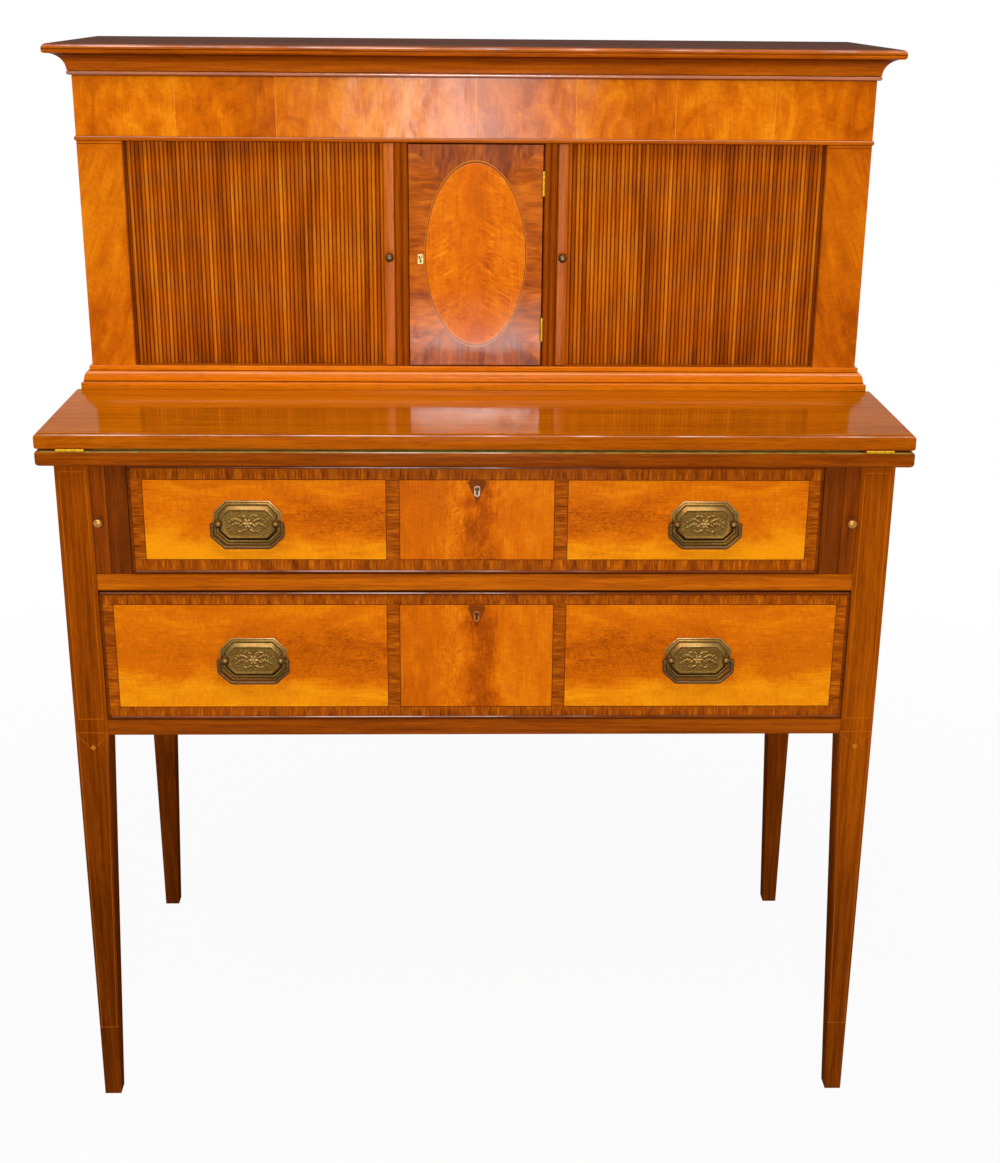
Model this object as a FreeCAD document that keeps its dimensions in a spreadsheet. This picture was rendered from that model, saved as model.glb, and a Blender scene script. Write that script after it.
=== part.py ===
"""Tambour writing desk: two long drawers on tapered legs, a folding writing flap carried by two lopers, and
an upper case with two sliding tambour curtains beside a small door. Millimetres, +Z up, front towards -Y."""
import FreeCAD, Part
import math
import os
import re

import Sketcher
from FreeCAD import Placement, Rotation, Vector

DESK = FreeCAD.newDocument("tambour_desk")
SHEET = DESK.addObject("Spreadsheet::Sheet", "sizes")

# Driving sizes: name, value, meaning
SIZES = [
    ("case_width", 882, "lower case over the leg posts"),
    ("case_depth", 460, "front of the front legs to back of the back legs"),
    ("leg_height", 469, "floor to the underside of the case"),
    ("leg_post", 36, "square corner post"),
    ("leg_foot", 19, "square foot of the taper"),
    ("bottom_rail_height", 18.5, "rail under the lower drawer"),
    ("lower_opening_height", 150.5, "opening of the lower drawer"),
    ("middle_rail_height", 19, "rail between the drawers"),
    ("upper_opening_height", 121.5, "opening of the upper drawer and the lopers"),
    ("rail_depth", 45, "front rails, front to back"),
    ("rail_inset", 0.5, "rails behind the face of the posts"),
    ("panel_thickness", 14, "lower case sides"),
    ("panel_inset", 1, "side and back panels behind the face of the posts"),
    ("case_back_thickness", 10, "lower case back"),
    ("runner_thickness", 16, "runner boards"),
    ("runner_lap", 22, "runner under the drawer side"),
    ("guide_height", 22, "guide strips on the runners"),
    ("loper_partition", 21.5, "partition between loper and upper drawer"),
    ("loper_width", 15.5, "loper across"),
    ("loper_rear_gap", 89, "closed loper to the case back"),
    ("loper_play", 0.5, "loper to its channel, each side"),
    ("running_play", 0.3, "sliding piece above its runner"),
    ("loper_knob_reach", 16, "loper knob in front of the loper"),
    ("loper_knob_radius", 5.5, "loper knob"),
    ("leaf_end_overhang", 16, "leaves beyond the posts at each end"),
    ("leaf_overhang", 12, "leaves in front of the posts"),
    ("leaf_thickness", 17, "writing board and flap"),
    ("leaf_outer_radius", 5, "rounded outer edges of the leaves"),
    ("leaf_inner_radius", 3.2, "rounded edges where the leaves meet"),
    ("lining_front_border", 4.5, "front edge of a leaf to its cloth lining"),
    ("lining_end_border", 58, "end of a leaf to its cloth lining"),
    ("lining_back_border", 32, "back edge of the flap to the cloth lining"),
    ("lining_thickness", 1, "cloth lining"),
    ("lining_play", 0.2, "lining to the edge of its recess"),
    ("flap_back_gap", 2, "flap to base moulding"),
    ("flap_hinge_inset", 37, "end of a leaf to middle of a flap hinge"),
    ("flap_hinge_length", 29, "flap hinge along its pin"),
    ("flap_hinge_proud", 0.5, "flap hinge pin in front of the leaves"),
    ("flap_hinge_reach", 20, "flap hinge plate from its pin"),
    ("hinge_plate", 0.7, "plate of every hinge"),
    ("hinge_play", 0.2, "closed hinge, plate to plate"),
    ("hinge_end_play", 0.2, "knuckle to knuckle"),
    ("hinge_knuckle_radius", 2, "knuckle of every hinge"),
    ("hinge_pin_radius", 0.9, "pin of every hinge"),
    ("pin_play", 0.05, "pin to bore, radial"),
    ("upper_end_inset", 3, "upper case inside the posts at each end"),
    ("upper_setback", 205, "upper case behind the posts"),
    ("face_thickness", 10, "stiles, frieze and plinth rail"),
    ("upper_side_thickness", 12, "upper case sides"),
    ("upper_back_thickness", 8, "upper case back"),
    ("plinth_height", 24.5, "plain lower part of the base moulding"),
    ("ovolo_height", 13, "rounded part of the base moulding"),
    ("ovolo_step", 1, "step below the rounded part of the base moulding"),
    ("base_fillet_height", 6, "flat top strip of the base moulding"),
    ("base_projection", 12, "base moulding in front of the case"),
    ("base_fillet_projection", 3, "top strip of the base moulding in front of the case"),
    ("floor_thickness", 18, "floor board of the upper case"),
    ("curtain_height", 249, "opening of curtains and door"),
    ("head_thickness", 16, "head board over the curtains"),
    ("frieze_height", 69, "frieze that shows below the cornice"),
    ("bead_height", 5, "bead under the cove"),
    ("bead_projection", 4, "bead in front of the frieze"),
    ("bead_radius", 2.6, "rounding of the bead"),
    ("cove_radius", 18, "cove of the cornice"),
    ("cornice_thickness", 10, "cornice board"),
    ("cornice_projection", 25, "cornice board in front of the frieze"),
    ("cornice_edge_radius", 5, "upper rounding of the cornice board"),
    ("cornice_under_radius", 3, "lower rounding of the cornice board"),
    ("stile_width", 50.5, "stiles beside the curtains"),
    ("door_width", 149, "door across"),
    ("door_thickness", 18, "door"),
    ("door_play", 0.8, "door to its frame on the lock side"),
    ("door_sill_play", 1.5, "door to floor and frieze"),
    ("door_hinge_length", 27, "door hinge along its pin"),
    ("door_hinge_inset", 28, "end of the door to the near end of a hinge"),
    ("door_hinge_proud", 2.2, "door hinge pin in front of the door"),
    ("door_hinge_reach", 14, "door hinge plate from its pin"),
    ("partition_thickness", 15, "partitions beside the door"),
    ("partition_bead_radius", 4, "two beads on the front of each partition"),
    ("partition_bead_rise", 2.5, "beads in front of the partition"),
    ("track_width", 4.4, "track of the curtains"),
    ("track_depth", 5, "track of the curtains"),
    ("track_wall", 2, "wood beside the track"),
    ("track_radius", 18, "track at the corners of the case"),
    ("track_tail", 70, "track along the back"),
    ("reed_pitch", 4.5, "reed to reed"),
    ("reed_gap", 0.15, "open line between two reeds"),
    ("reed_rise", 2.7, "crown of a reed in front of the canvas"),
    ("reed_crown", 2.2, "flat of the crown"),
    ("reed_cover", 12, "closed curtain behind its stile, at least"),
    ("canvas_thickness", 0.6, "canvas that the reeds are glued to"),
    ("track_end_play", 0.8, "end of a reed to the bottom of its track"),
    ("lead_width", 12, "lead strip of a curtain"),
    ("lead_recess", 2, "lead strip behind the stiles"),
    ("lead_play", 0.4, "closed lead strip to its partition"),
    ("lead_edge_radius", 1.5, "rounded front of a lead strip"),
    ("curtain_knob_reach", 13, "curtain knob in front of its lead strip"),
    ("curtain_knob_radius", 5, "curtain knob"),
    ("nest_setback", 11, "pigeonholes behind the track"),
    ("nest_board", 5, "boards of the pigeonholes"),
    ("nest_shelf_height", 96, "floor to the underside of the shelf"),
    ("drawer_play", 1, "drawer front to its opening, each side"),
    ("drawer_sill_play", 1.5, "drawer front to the rails"),
    ("drawer_front_thickness", 18, "drawer fronts"),
    ("cock_bead", 3, "cock bead across"),
    ("cock_bead_proud", 1.6, "cock bead in front of the drawer"),
    ("cock_bead_bevel", 0.8, "bevelled nose of the cock bead"),
    ("drawer_rear_gap", 51, "closed drawer to the case back"),
    ("drawer_side_thickness", 11, "drawer sides"),
    ("drawer_side_drop", 9, "drawer side below the top of the front"),
    ("drawer_back_thickness", 10, "drawer backs"),
    ("drawer_bottom_thickness", 6, "drawer bottoms"),
    ("drawer_bottom_rise", 8, "drawer bottom above the runner"),
    ("groove_depth", 5, "groove for the drawer bottom"),
    ("groove_play", 0.2, "drawer bottom in its groove"),
    ("pull_inset", 124, "end of the upper drawer to middle of a pull"),
    ("pull_drop", 3, "pull below the middle of the front"),
    ("plate_width", 70, "pull plate"),
    ("plate_height", 47, "pull plate"),
    ("plate_corner", 12.5, "cut corner of the plate"),
    ("plate_thickness", 1.2, "flat border of the plate"),
    ("plate_border", 5.3, "width of the flat border"),
    ("plate_step", 0.3, "upright foot of the raised field"),
    ("plate_bevel", 3.2, "slope round the raised field"),
    ("post_spread", 29, "middle of a pull to a post"),
    ("post_shank", 4.4, "square shank of a post"),
    ("post_play", 0.1, "post in its hole"),
    ("post_head_radius", 4.2, "round head of a post"),
    ("post_pin_distance", 7.2, "drawer face to the axis of the bail"),
    ("nut_width", 9, "square nut inside the drawer"),
    ("nut_thickness", 3.5, "nut inside the drawer"),
    ("bail_radius", 2.4, "rod of the bail"),
    ("bail_pin_radius", 1.5, "ends of the bail in the posts"),
    ("bail_pin_length", 9.5, "ends of the bail in the posts"),
    ("bail_pin_cap", 0.84, "ends of the bail beyond the middle of its rod"),
    ("bail_half_width", 36.2, "middle of a pull to the end of its bail"),
    ("bail_drop", 25.2, "axis of the bail to its lower run"),
    ("bail_shoulder", 12.6, "straight side of the bail"),
    ("bail_foot", 23, "half of the lower run of the bail"),
    ("lock_width", 46, "drawer lock"),
    ("lock_height", 34, "drawer lock"),
    ("lock_thickness", 11, "drawer lock"),
    ("keyhole_drop", 25, "keyhole below the top of the front"),
    ("keyhole_radius", 2.4, "round part of a keyhole"),
    ("keyhole_slot", 2.2, "slot of a keyhole, across"),
    ("keyhole_length", 7, "slot of a keyhole below its round part"),
    ("door_lock_inset", 12.5, "keyhole from the edge of the door"),
    ("door_lock_width", 22, "door lock"),
    ("door_lock_height", 40, "door lock"),
    ("door_lock_thickness", 9, "door lock"),
    ("key_plate_width", 6, "keyhole plate on the door"),
    ("key_plate_height", 11, "keyhole plate on the door"),
    ("key_plate_thickness", 0.8, "keyhole plate on the door"),
]
NAMES = {name for name, value, meaning in SIZES}

for row, (name, value, meaning) in enumerate(SIZES, start=1):
    SHEET.set(f"A{row}", meaning)
    SHEET.set(f"B{row}", str(value))
    SHEET.setAlias(f"B{row}", name)
DESK.recompute()

# Levels and planes, as formulas of the driving sizes
FRONT = "((loper_knob_reach - case_depth) / 2)"
BACK = f"({FRONT} + case_depth)"
HALF_CASE = "(case_width / 2)"
POST_IN = f"({HALF_CASE} - leg_post)"
SIDE_IN = f"({HALF_CASE} - panel_inset - panel_thickness)"
LOPER_IN = f"({POST_IN} - loper_width - 2 * loper_play)"
UPPER_HALF = f"({LOPER_IN} - loper_partition)"
RAIL_FACE = f"({FRONT} + rail_inset)"
RAIL_BACK = f"({RAIL_FACE} + rail_depth)"
POST_BACK = f"({BACK} - leg_post)"
CASE_BACK_FACE = f"({BACK} - panel_inset - case_back_thickness)"
LOWER_SILL = "(leg_height + bottom_rail_height)"
MIDDLE_RAIL = f"({LOWER_SILL} + lower_opening_height)"
UPPER_SILL = f"({MIDDLE_RAIL} + middle_rail_height)"
CASE_TOP = f"({UPPER_SILL} + upper_opening_height)"
BED_TOP = f"({CASE_TOP} + leaf_thickness)"
HINGE_GAP = "(2 * hinge_plate + hinge_play)"
FLAP_BOTTOM = f"({BED_TOP} + {HINGE_GAP})"
FLAP_TOP = f"({FLAP_BOTTOM} + leaf_thickness)"
HALF_LEAF = f"({HALF_CASE} + leaf_end_overhang)"
LEAF_FRONT = f"({FRONT} - leaf_overhang)"
HALF_UPPER = f"({HALF_CASE} - upper_end_inset)"
UPPER_FRONT = f"({FRONT} + upper_setback)"
FACE_BACK = f"({UPPER_FRONT} + face_thickness)"
FLAP_BACK = f"({UPPER_FRONT} - base_projection - flap_back_gap)"
FLOOR = f"({BED_TOP} + plinth_height + ovolo_height + base_fillet_height)"
HEAD = f"({FLOOR} + curtain_height)"
COVE_FOOT = f"({HEAD} + frieze_height)"
CORNICE = f"({COVE_FOOT} + bead_height + cove_radius)"
UPPER_IN = f"({HALF_UPPER} - upper_side_thickness)"
INNER_BACK = f"({BACK} - upper_back_thickness)"
STILE_IN = f"({HALF_UPPER} - stile_width)"
DOOR_LEFT = f"(-(door_width + door_play + {HINGE_GAP}) / 2 + door_play)"
DOOR_RIGHT = f"({DOOR_LEFT} + door_width)"
PARTITION_IN = f"((door_width + door_play + {HINGE_GAP}) / 2)"
PARTITION_OUT = f"({PARTITION_IN} + partition_thickness)"
TRACK_Y = f"({FACE_BACK} + track_wall + track_width / 2)"
TRACK_X = f"({UPPER_IN} - track_wall - track_width / 2)"
TRACK_BACK = f"({INNER_BACK} - track_wall - track_width / 2)"
CURTAIN_BACK = f"({TRACK_Y} + (reed_rise + canvas_thickness) / 2)"
REED_BACK = f"({CURTAIN_BACK} - canvas_thickness)"
LEAD_IN = f"({PARTITION_OUT} + lead_play)"
LEAD_OUT = f"({LEAD_IN} + lead_width)"
LEAD_FACE = f"({UPPER_FRONT} + lead_recess)"
REED_COUNT = f"ceil(({STILE_IN} + reed_cover - {LEAD_OUT}) / reed_pitch)"
CURTAIN_OUT = f"({LEAD_OUT} + {REED_COUNT} * reed_pitch)"
REED_LOW = f"({FLOOR} - track_depth)"
REED_HIGH = f"({HEAD} + track_depth - track_end_play)"
NEST_FRONT = f"({TRACK_Y} + track_width / 2 + nest_setback)"
NEST_BACK = f"({TRACK_BACK} - track_width / 2 - track_wall)"
NEST_OUT = f"({TRACK_X} - track_width / 2 - track_wall)"


def bind(formula):
    """Write a formula so that it reads the sheet: every size name gets the sheet's name before it."""
    return re.sub(r"[a-z_]{2,}", lambda w: f"sizes.{w[0]}" if w[0] in NAMES else w[0], str(formula))


def size(formula):
    """Number that a formula gives now."""
    return float(SHEET.evalExpression(bind(formula)))


def place(piece, x, y, z, rotation=None):
    """Put a piece at a point given by three formulas."""
    if rotation is not None:
        piece.Placement = Placement(Vector(), rotation)
    for axis, formula in zip("xyz", (x, y, z)):
        piece.setExpression(f"Placement.Base.{axis}", bind(formula))
    return piece


def board(label, low, high):
    """Plain board between two corners of three formulas each."""
    piece = DESK.addObject("Part::Box", label)
    for side, a, b in zip(("Length", "Width", "Height"), low, high):
        piece.setExpression(side, bind(f"({b}) - ({a})"))
    return place(piece, *low)


def side_board(label, side, low, high):
    """Board on the left (side -1) or right (side 1): its x formulas count from the middle outwards."""
    if side > 0:
        return board(label, low, high)
    return board(label, (f"-({high[0]})", *low[1:]), (f"-({low[0]})", *high[1:]))


def group(label, pieces):
    """Several separate solids under one name."""
    piece = DESK.addObject("Part::Compound", label)
    piece.Links = pieces
    return piece


def cut(label, base, tool):
    """One piece less another."""
    piece = DESK.addObject("Part::Cut", label)
    piece.Base = base
    piece.Tool = tool
    return piece


def new_body(label):
    """Body that features are added to."""
    return DESK.addObject("PartDesign::Body", label)


def sketch(owner, name, plane, level):
    """Empty sketch on one of the body's own planes, moved to a level: z on XY, y on XZ, x on YZ."""
    drawing = owner.newObject("Sketcher::SketchObject", f"{owner.Name}_{name}")
    support = next(f for f in owner.Origin.OriginFeatures if f.Role == f"{plane}_Plane")
    drawing.AttachmentSupport = [(support, "")]
    drawing.MapMode = "FlatFace"
    sign = "-" if plane == "XZ" else ""
    drawing.setExpression("AttachmentOffset.Base.z", bind(f"{sign}({level})"))
    return drawing


def arc_through(start, end, radius, turn):
    """Shorter arc between two points; it bulges to the left of the way there for turn 1, right for -1."""
    chord = end - start
    rise = radius - math.sqrt(max(radius ** 2 - (chord.Length / 2) ** 2, 0))
    left = Vector(-chord.y, chord.x, 0).normalize()
    return Part.Arc(start, (start + end) / 2 + left * rise * turn, end)


def fix_point(drawing, edge, corner, formulas):
    """Hold one end of an edge at the coordinates that two formulas give."""
    for kind, axis, formula in (("DistanceX", -2, formulas[0]), ("DistanceY", -1, formulas[1])):
        if formula == "0":
            drawing.addConstraint(Sketcher.Constraint("PointOnObject", edge, corner, axis))
            continue
        number = drawing.addConstraint(Sketcher.Constraint(kind, -1, 1, edge, corner, size(formula)))
        drawing.setExpression(f"Constraints[{number}]", bind(formula))


def outline(drawing, points, closed=True):
    """Draw lines and arcs through points. A point is two formulas, then radius and turn of its arc."""
    spots = [Vector(size(p[0]), size(p[1]), 0) for p in points]
    total = len(points) if closed else len(points) - 1
    first = drawing.GeometryCount
    for number in range(total):
        start, end = spots[number], spots[(number + 1) % len(spots)]
        bend = points[number][2:]
        shape = arc_through(start, end, size(bend[0]), bend[1]) if bend else Part.LineSegment(start, end)
        drawing.addGeometry(shape, False)

    def corner_at(edge, spot):
        """Which end of an edge lies at a spot."""
        near = (drawing.getPoint(first + edge, 1) - spot).Length
        far = (drawing.getPoint(first + edge, 2) - spot).Length
        return 1 if near < far else 2

    joints = total if closed else total - 1
    for number in range(joints):
        following = (number + 1) % total
        spot = spots[(number + 1) % len(spots)]
        ends = (first + number, corner_at(number, spot), first + following, corner_at(following, spot))
        drawing.addConstraint(Sketcher.Constraint("Coincident", *ends))
    for number, point in enumerate(points):
        edge = min(number, total - 1)
        fix_point(drawing, first + edge, corner_at(edge, spots[number]), point[:2])
    for number in range(total):
        if points[number][2:]:
            radius = points[number][2]
            hold = Sketcher.Constraint("Radius", first + number, size(radius))
            drawing.setExpression(f"Constraints[{drawing.addConstraint(hold)}]", bind(radius))
    return drawing


def rectangle(drawing, low, high):
    """Rectangle between two corners of two formulas each."""
    return outline(drawing, [low, (high[0], low[1]), high, (low[0], high[1])])


def circle(drawing, x, y, radius):
    """Circle about a point."""
    number = drawing.addGeometry(Part.Circle(Vector(size(x), size(y), 0), Vector(0, 0, 1), size(radius)))
    fix_point(drawing, number, 3, (x, y))
    hold = drawing.addConstraint(Sketcher.Constraint("Radius", number, size(radius)))
    drawing.setExpression(f"Constraints[{hold}]", bind(radius))
    return drawing


def pad(owner, profile, length, reverse=False):
    """Raise a sketch: up on XY, forward on XZ, to the right on YZ, or the other way."""
    feature = owner.newObject("PartDesign::Pad", f"{profile.Name}_pad")
    feature.Profile = profile
    feature.setExpression("Length", bind(length))
    feature.Reversed = reverse
    return feature


def pocket(owner, profile, depth, reverse=False):
    """Sink a sketch the other way from pad, and stop if nothing was cut."""
    DESK.recompute()
    before = owner.Shape.Volume
    feature = owner.newObject("PartDesign::Pocket", f"{profile.Name}_pocket")
    feature.Profile = profile
    feature.setExpression("Length", bind(depth))
    feature.Reversed = reverse
    DESK.recompute()
    if owner.Shape.Volume >= before:
        raise RuntimeError(f"{profile.Name} cuts nothing")
    return feature


def pipe(owner, kind, profile, path):
    """Carry a profile along a path, with mitred corners."""
    feature = owner.newObject(f"PartDesign::{kind}Pipe", f"{profile.Name}_pipe")
    feature.Profile = profile
    feature.Spine = (path, [f"Edge{number + 1}" for number in range(path.GeometryCount)])
    feature.Transition = "Right corner"
    return feature


def edges_where(feature, test):
    """Names of the edges of a feature whose box passes the test."""
    DESK.recompute()
    return [f"Edge{n}" for n, edge in enumerate(feature.Shape.Edges, start=1) if test(edge.BoundBox)]


def round_edges(owner, feature, name, radius, test):
    """Round those edges of a feature whose box passes the test."""
    edges = edges_where(feature, test)
    rounding = owner.newObject("PartDesign::Fillet", f"{owner.Name}_{name}")
    rounding.Base = (feature, edges)
    rounding.setExpression("Radius", bind(radius))
    return rounding


def bevel_edges(owner, feature, name, width, test):
    """Bevel those edges of a feature whose box passes the test."""
    edges = edges_where(feature, test)
    bevel = owner.newObject("PartDesign::Chamfer", f"{owner.Name}_{name}")
    bevel.Base = (feature, edges)
    bevel.setExpression("Size", bind(width))
    return bevel


def near(a, formula):
    """True where a number is at the place that a formula gives."""
    return abs(a - size(formula)) < 0.01


NODES = []


def keep(*pieces):
    """Take pieces into the list of sub-parts that are written out."""
    NODES.extend(pieces)


# Lower case
def leg(label, side, end):
    """Corner post and leg in one stick, tapered on its two inner faces only."""
    stick = new_body(label)
    outer_x = f"{side} * {HALF_CASE}"
    outer_y = FRONT if end < 0 else BACK
    inner_x, inner_y = f"{outer_x} - {side} * leg_post", f"{outer_y} - {end} * leg_post"
    foot_x, foot_y = f"{outer_x} - {side} * leg_foot", f"{outer_y} - {end} * leg_foot"
    pad(stick, rectangle(sketch(stick, "plan", "XY", "0"), (outer_x, outer_y), (inner_x, inner_y)), CASE_TOP)
    wedge = outline(sketch(stick, "inner_wedge", "XZ", FRONT if end < 0 else inner_y),
                    [(inner_x, "leg_height"), (inner_x, "0"), (foot_x, "0")])
    pocket(stick, wedge, "leg_post")
    wedge = outline(sketch(stick, "rear_wedge", "YZ", outer_x if side > 0 else inner_x),
                    [(inner_y, "leg_height"), (inner_y, "0"), (foot_y, "0")])
    pocket(stick, wedge, "leg_post")
    return stick


keep(leg("leg_front_left", -1, -1), leg("leg_front_right", 1, -1))
keep(leg("leg_back_left", -1, 1), leg("leg_back_right", 1, 1))

SIDES = (("left", -1), ("right", 1))

keep(group("case_sides", [
    side_board(f"case_side_{word}", side,
               (SIDE_IN, f"{FRONT} + leg_post", "leg_height"),
               (f"{SIDE_IN} + panel_thickness", POST_BACK, CASE_TOP))
    for word, side in SIDES]))
keep(board("case_back", (f"-{POST_IN}", CASE_BACK_FACE, "leg_height"),
           (POST_IN, f"{CASE_BACK_FACE} + case_back_thickness", CASE_TOP)))
keep(board("bottom_rail", (f"-{POST_IN}", RAIL_FACE, "leg_height"), (POST_IN, RAIL_BACK, LOWER_SILL)))
keep(board("middle_rail", (f"-{POST_IN}", RAIL_FACE, MIDDLE_RAIL), (POST_IN, RAIL_BACK, UPPER_SILL)))

# Partitions between loper and upper drawer, that guide both
keep(group("loper_partitions", [
    side_board(f"loper_partition_{word}", side, (UPPER_HALF, RAIL_FACE, UPPER_SILL),
               (LOPER_IN, POST_BACK, CASE_TOP))
    for word, side in SIDES]))

# Runners under the drawer sides, with guide strips beside drawers and lopers
runners = []
for word, side in SIDES:
    for tier, sill, inside in (("lower", LOWER_SILL, POST_IN), ("upper", UPPER_SILL, UPPER_HALF)):
        runners.append(side_board(f"{tier}_runner_{word}", side,
                                  (f"{inside} - runner_lap", RAIL_BACK, f"{sill} - runner_thickness"),
                                  (SIDE_IN, POST_BACK, sill)))
        runners.append(side_board(f"{tier}_guide_{word}", side, (POST_IN, RAIL_BACK, sill),
                                  (SIDE_IN, POST_BACK, f"{sill} + guide_height")))
keep(group("drawer_runners", runners))


# Turned knob: stem and flat-faced head, turned about the axis that points to the front
STEM_SHARE, HEAD_SHARE = 0.5, 1.1


def turn_round(owner, profile):
    """Turn a profile once round the sketch's upright axis."""
    turning = owner.newObject("PartDesign::Revolution", f"{owner.Name}_turning")
    turning.Profile = profile
    turning.ReferenceAxis = (profile, ["V_Axis"])
    turning.Angle = 360
    return turning


def knob(label, radius, reach, x, y, z):
    """Turned knob that stands on a front face at a point."""
    turned = new_body(label)
    stem = f"{radius} * {STEM_SHARE}"
    head = f"({reach} - {radius} * {HEAD_SHARE})"
    profile = outline(sketch(turned, "profile", "XY", "0"), [
        ("0", "0"), (stem, "0"), (stem, f"-{head}"),
        (radius, f"-{head}"), (radius, f"-{reach}"), ("0", f"-{reach}")])
    turn_round(turned, profile)
    return place(turned, x, y, z)


# Lopers
def loper(word, side):
    """Pull-out bearer for the opened flap, with its knob."""
    bearer = side_board(f"loper_{word}", side,
                        (f"{LOPER_IN} + loper_play", FRONT, f"{UPPER_SILL} + running_play"),
                        (f"{POST_IN} - loper_play", f"{CASE_BACK_FACE} - loper_rear_gap",
                         f"{CASE_TOP} - running_play"))
    middle = f"{side} * ({LOPER_IN} + loper_play + loper_width / 2)"
    grip = knob(f"loper_knob_{word}", "loper_knob_radius", "loper_knob_reach", middle, FRONT,
                f"{UPPER_SILL} + upper_opening_height / 2")
    keep(bearer, grip)


loper("left", -1)
loper("right", 1)


# Writing board and flap
def leaf(label, bottom, top, back, lined_face, lining_back):
    """Board with rounded front and ends, and a shallow recess for its lining."""
    panel = new_body(label)
    plan = rectangle(sketch(panel, "plan", "XY", bottom), (f"-{HALF_LEAF}", LEAF_FRONT), (HALF_LEAF, back))
    blank = pad(panel, plan, "leaf_thickness")

    def on_rim(level):
        def test(box):
            flat = near(box.ZMin, level) and near(box.ZMax, level)
            at_front = near(box.YMax, LEAF_FRONT)
            at_end = box.XLength < 0.01 and near(abs(box.XMin), HALF_LEAF)
            return flat and (at_front or at_end)
        return test

    outer = bottom if lined_face == top else top
    softened = round_edges(panel, blank, "outer_edge", "leaf_outer_radius", on_rim(outer))
    round_edges(panel, softened, "inner_edge", "leaf_inner_radius", on_rim(lined_face))
    recess = rectangle(sketch(panel, "recess", "XY", lined_face),
                       (f"-({HALF_LEAF} - lining_end_border)", f"{LEAF_FRONT} + lining_front_border"),
                       (f"{HALF_LEAF} - lining_end_border", lining_back))
    pocket(panel, recess, "lining_thickness", reverse=lined_face == bottom)
    return panel


def lining(label, level, back):
    """Cloth lining that fills the recess of a leaf."""
    half = f"({HALF_LEAF} - lining_end_border - lining_play)"
    return board(label, (f"-{half}", f"{LEAF_FRONT} + lining_front_border + lining_play", level),
                 (half, f"{back} - lining_play", f"{level} + lining_thickness"))


LINING_BACK = f"({FLAP_BACK} - lining_back_border)"
keep(leaf("writing_bed", CASE_TOP, BED_TOP, BACK, BED_TOP, LINING_BACK))
keep(lining("bed_lining", f"{BED_TOP} - lining_thickness", LINING_BACK))
keep(leaf("flap", FLAP_BOTTOM, FLAP_TOP, FLAP_BACK, FLAP_BOTTOM, LINING_BACK))
keep(lining("flap_lining", FLAP_BOTTOM, LINING_BACK))


# Butt hinges: the pin lies along local X, the plates reach along local +Y, fixed below and moving above
# Two points that split the round of a knuckle, as shares of its radius
ROLL_BACK, ROLL_UP = 0.6, 0.8


def hinge_leaf(label, length, reach, moving):
    """Half of a butt hinge: plate and rolled knuckles, with the pin if fixed or its bore if moving."""
    half = new_body(label)
    low, high = "(-hinge_play / 2 - hinge_plate)", "(-hinge_play / 2)"
    if moving:
        low, high = "(hinge_play / 2)", "(hinge_play / 2 + hinge_plate)"
    roll, clear = "hinge_knuckle_radius", "(hinge_knuckle_radius + hinge_end_play)"
    knuckle = f"(({length} - 2 * hinge_end_play) / 3)"
    starts = [f"-{length} / 2 + {knuckle} + hinge_end_play"] if moving else [
        f"-{length} / 2", f"{length} / 2 - {knuckle}"]
    plate = rectangle(sketch(half, "plate", "YZ", f"-{length} / 2"), (clear, low), (reach, high))
    pad(half, plate, length)
    for number, start in enumerate(starts):
        rolled = outline(sketch(half, f"roll{number}", "YZ", start), [
            (reach, high), (f"sqrt({roll} ^ 2 - {high} ^ 2)", high, roll, -1),
            (f"-{roll} * {ROLL_BACK}", f"{roll} * {ROLL_UP}", roll, -1),
            (f"-{roll} * {ROLL_BACK}", f"-{roll} * {ROLL_UP}", roll, -1),
            (f"sqrt({roll} ^ 2 - {low} ^ 2)", low), (reach, low)])
        pad(half, rolled, knuckle)
    pin = sketch(half, "pin", "YZ", f"{length} / 2" if moving else f"-{length} / 2")
    if moving:
        pocket(half, circle(pin, "0", "0", "hinge_pin_radius + pin_play"), length)
    else:
        pad(half, circle(pin, "0", "0", "hinge_pin_radius"), length)
    return half


UPRIGHT = Rotation(Vector(0, 1, 0), -90)
FLAP_AXIS = (f"{LEAF_FRONT} - flap_hinge_proud", f"{BED_TOP} + {HINGE_GAP} / 2")
for kind, moving in (("fixed", False), ("moving", True)):
    halves = []
    for word, side in SIDES:
        half = hinge_leaf(f"flap_hinge_{kind}_{word}", "flap_hinge_length", "flap_hinge_reach", moving)
        halves.append(place(half, f"{side} * ({HALF_LEAF} - flap_hinge_inset)", *FLAP_AXIS))
    keep(group(f"flap_hinge_{kind}", halves))


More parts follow.
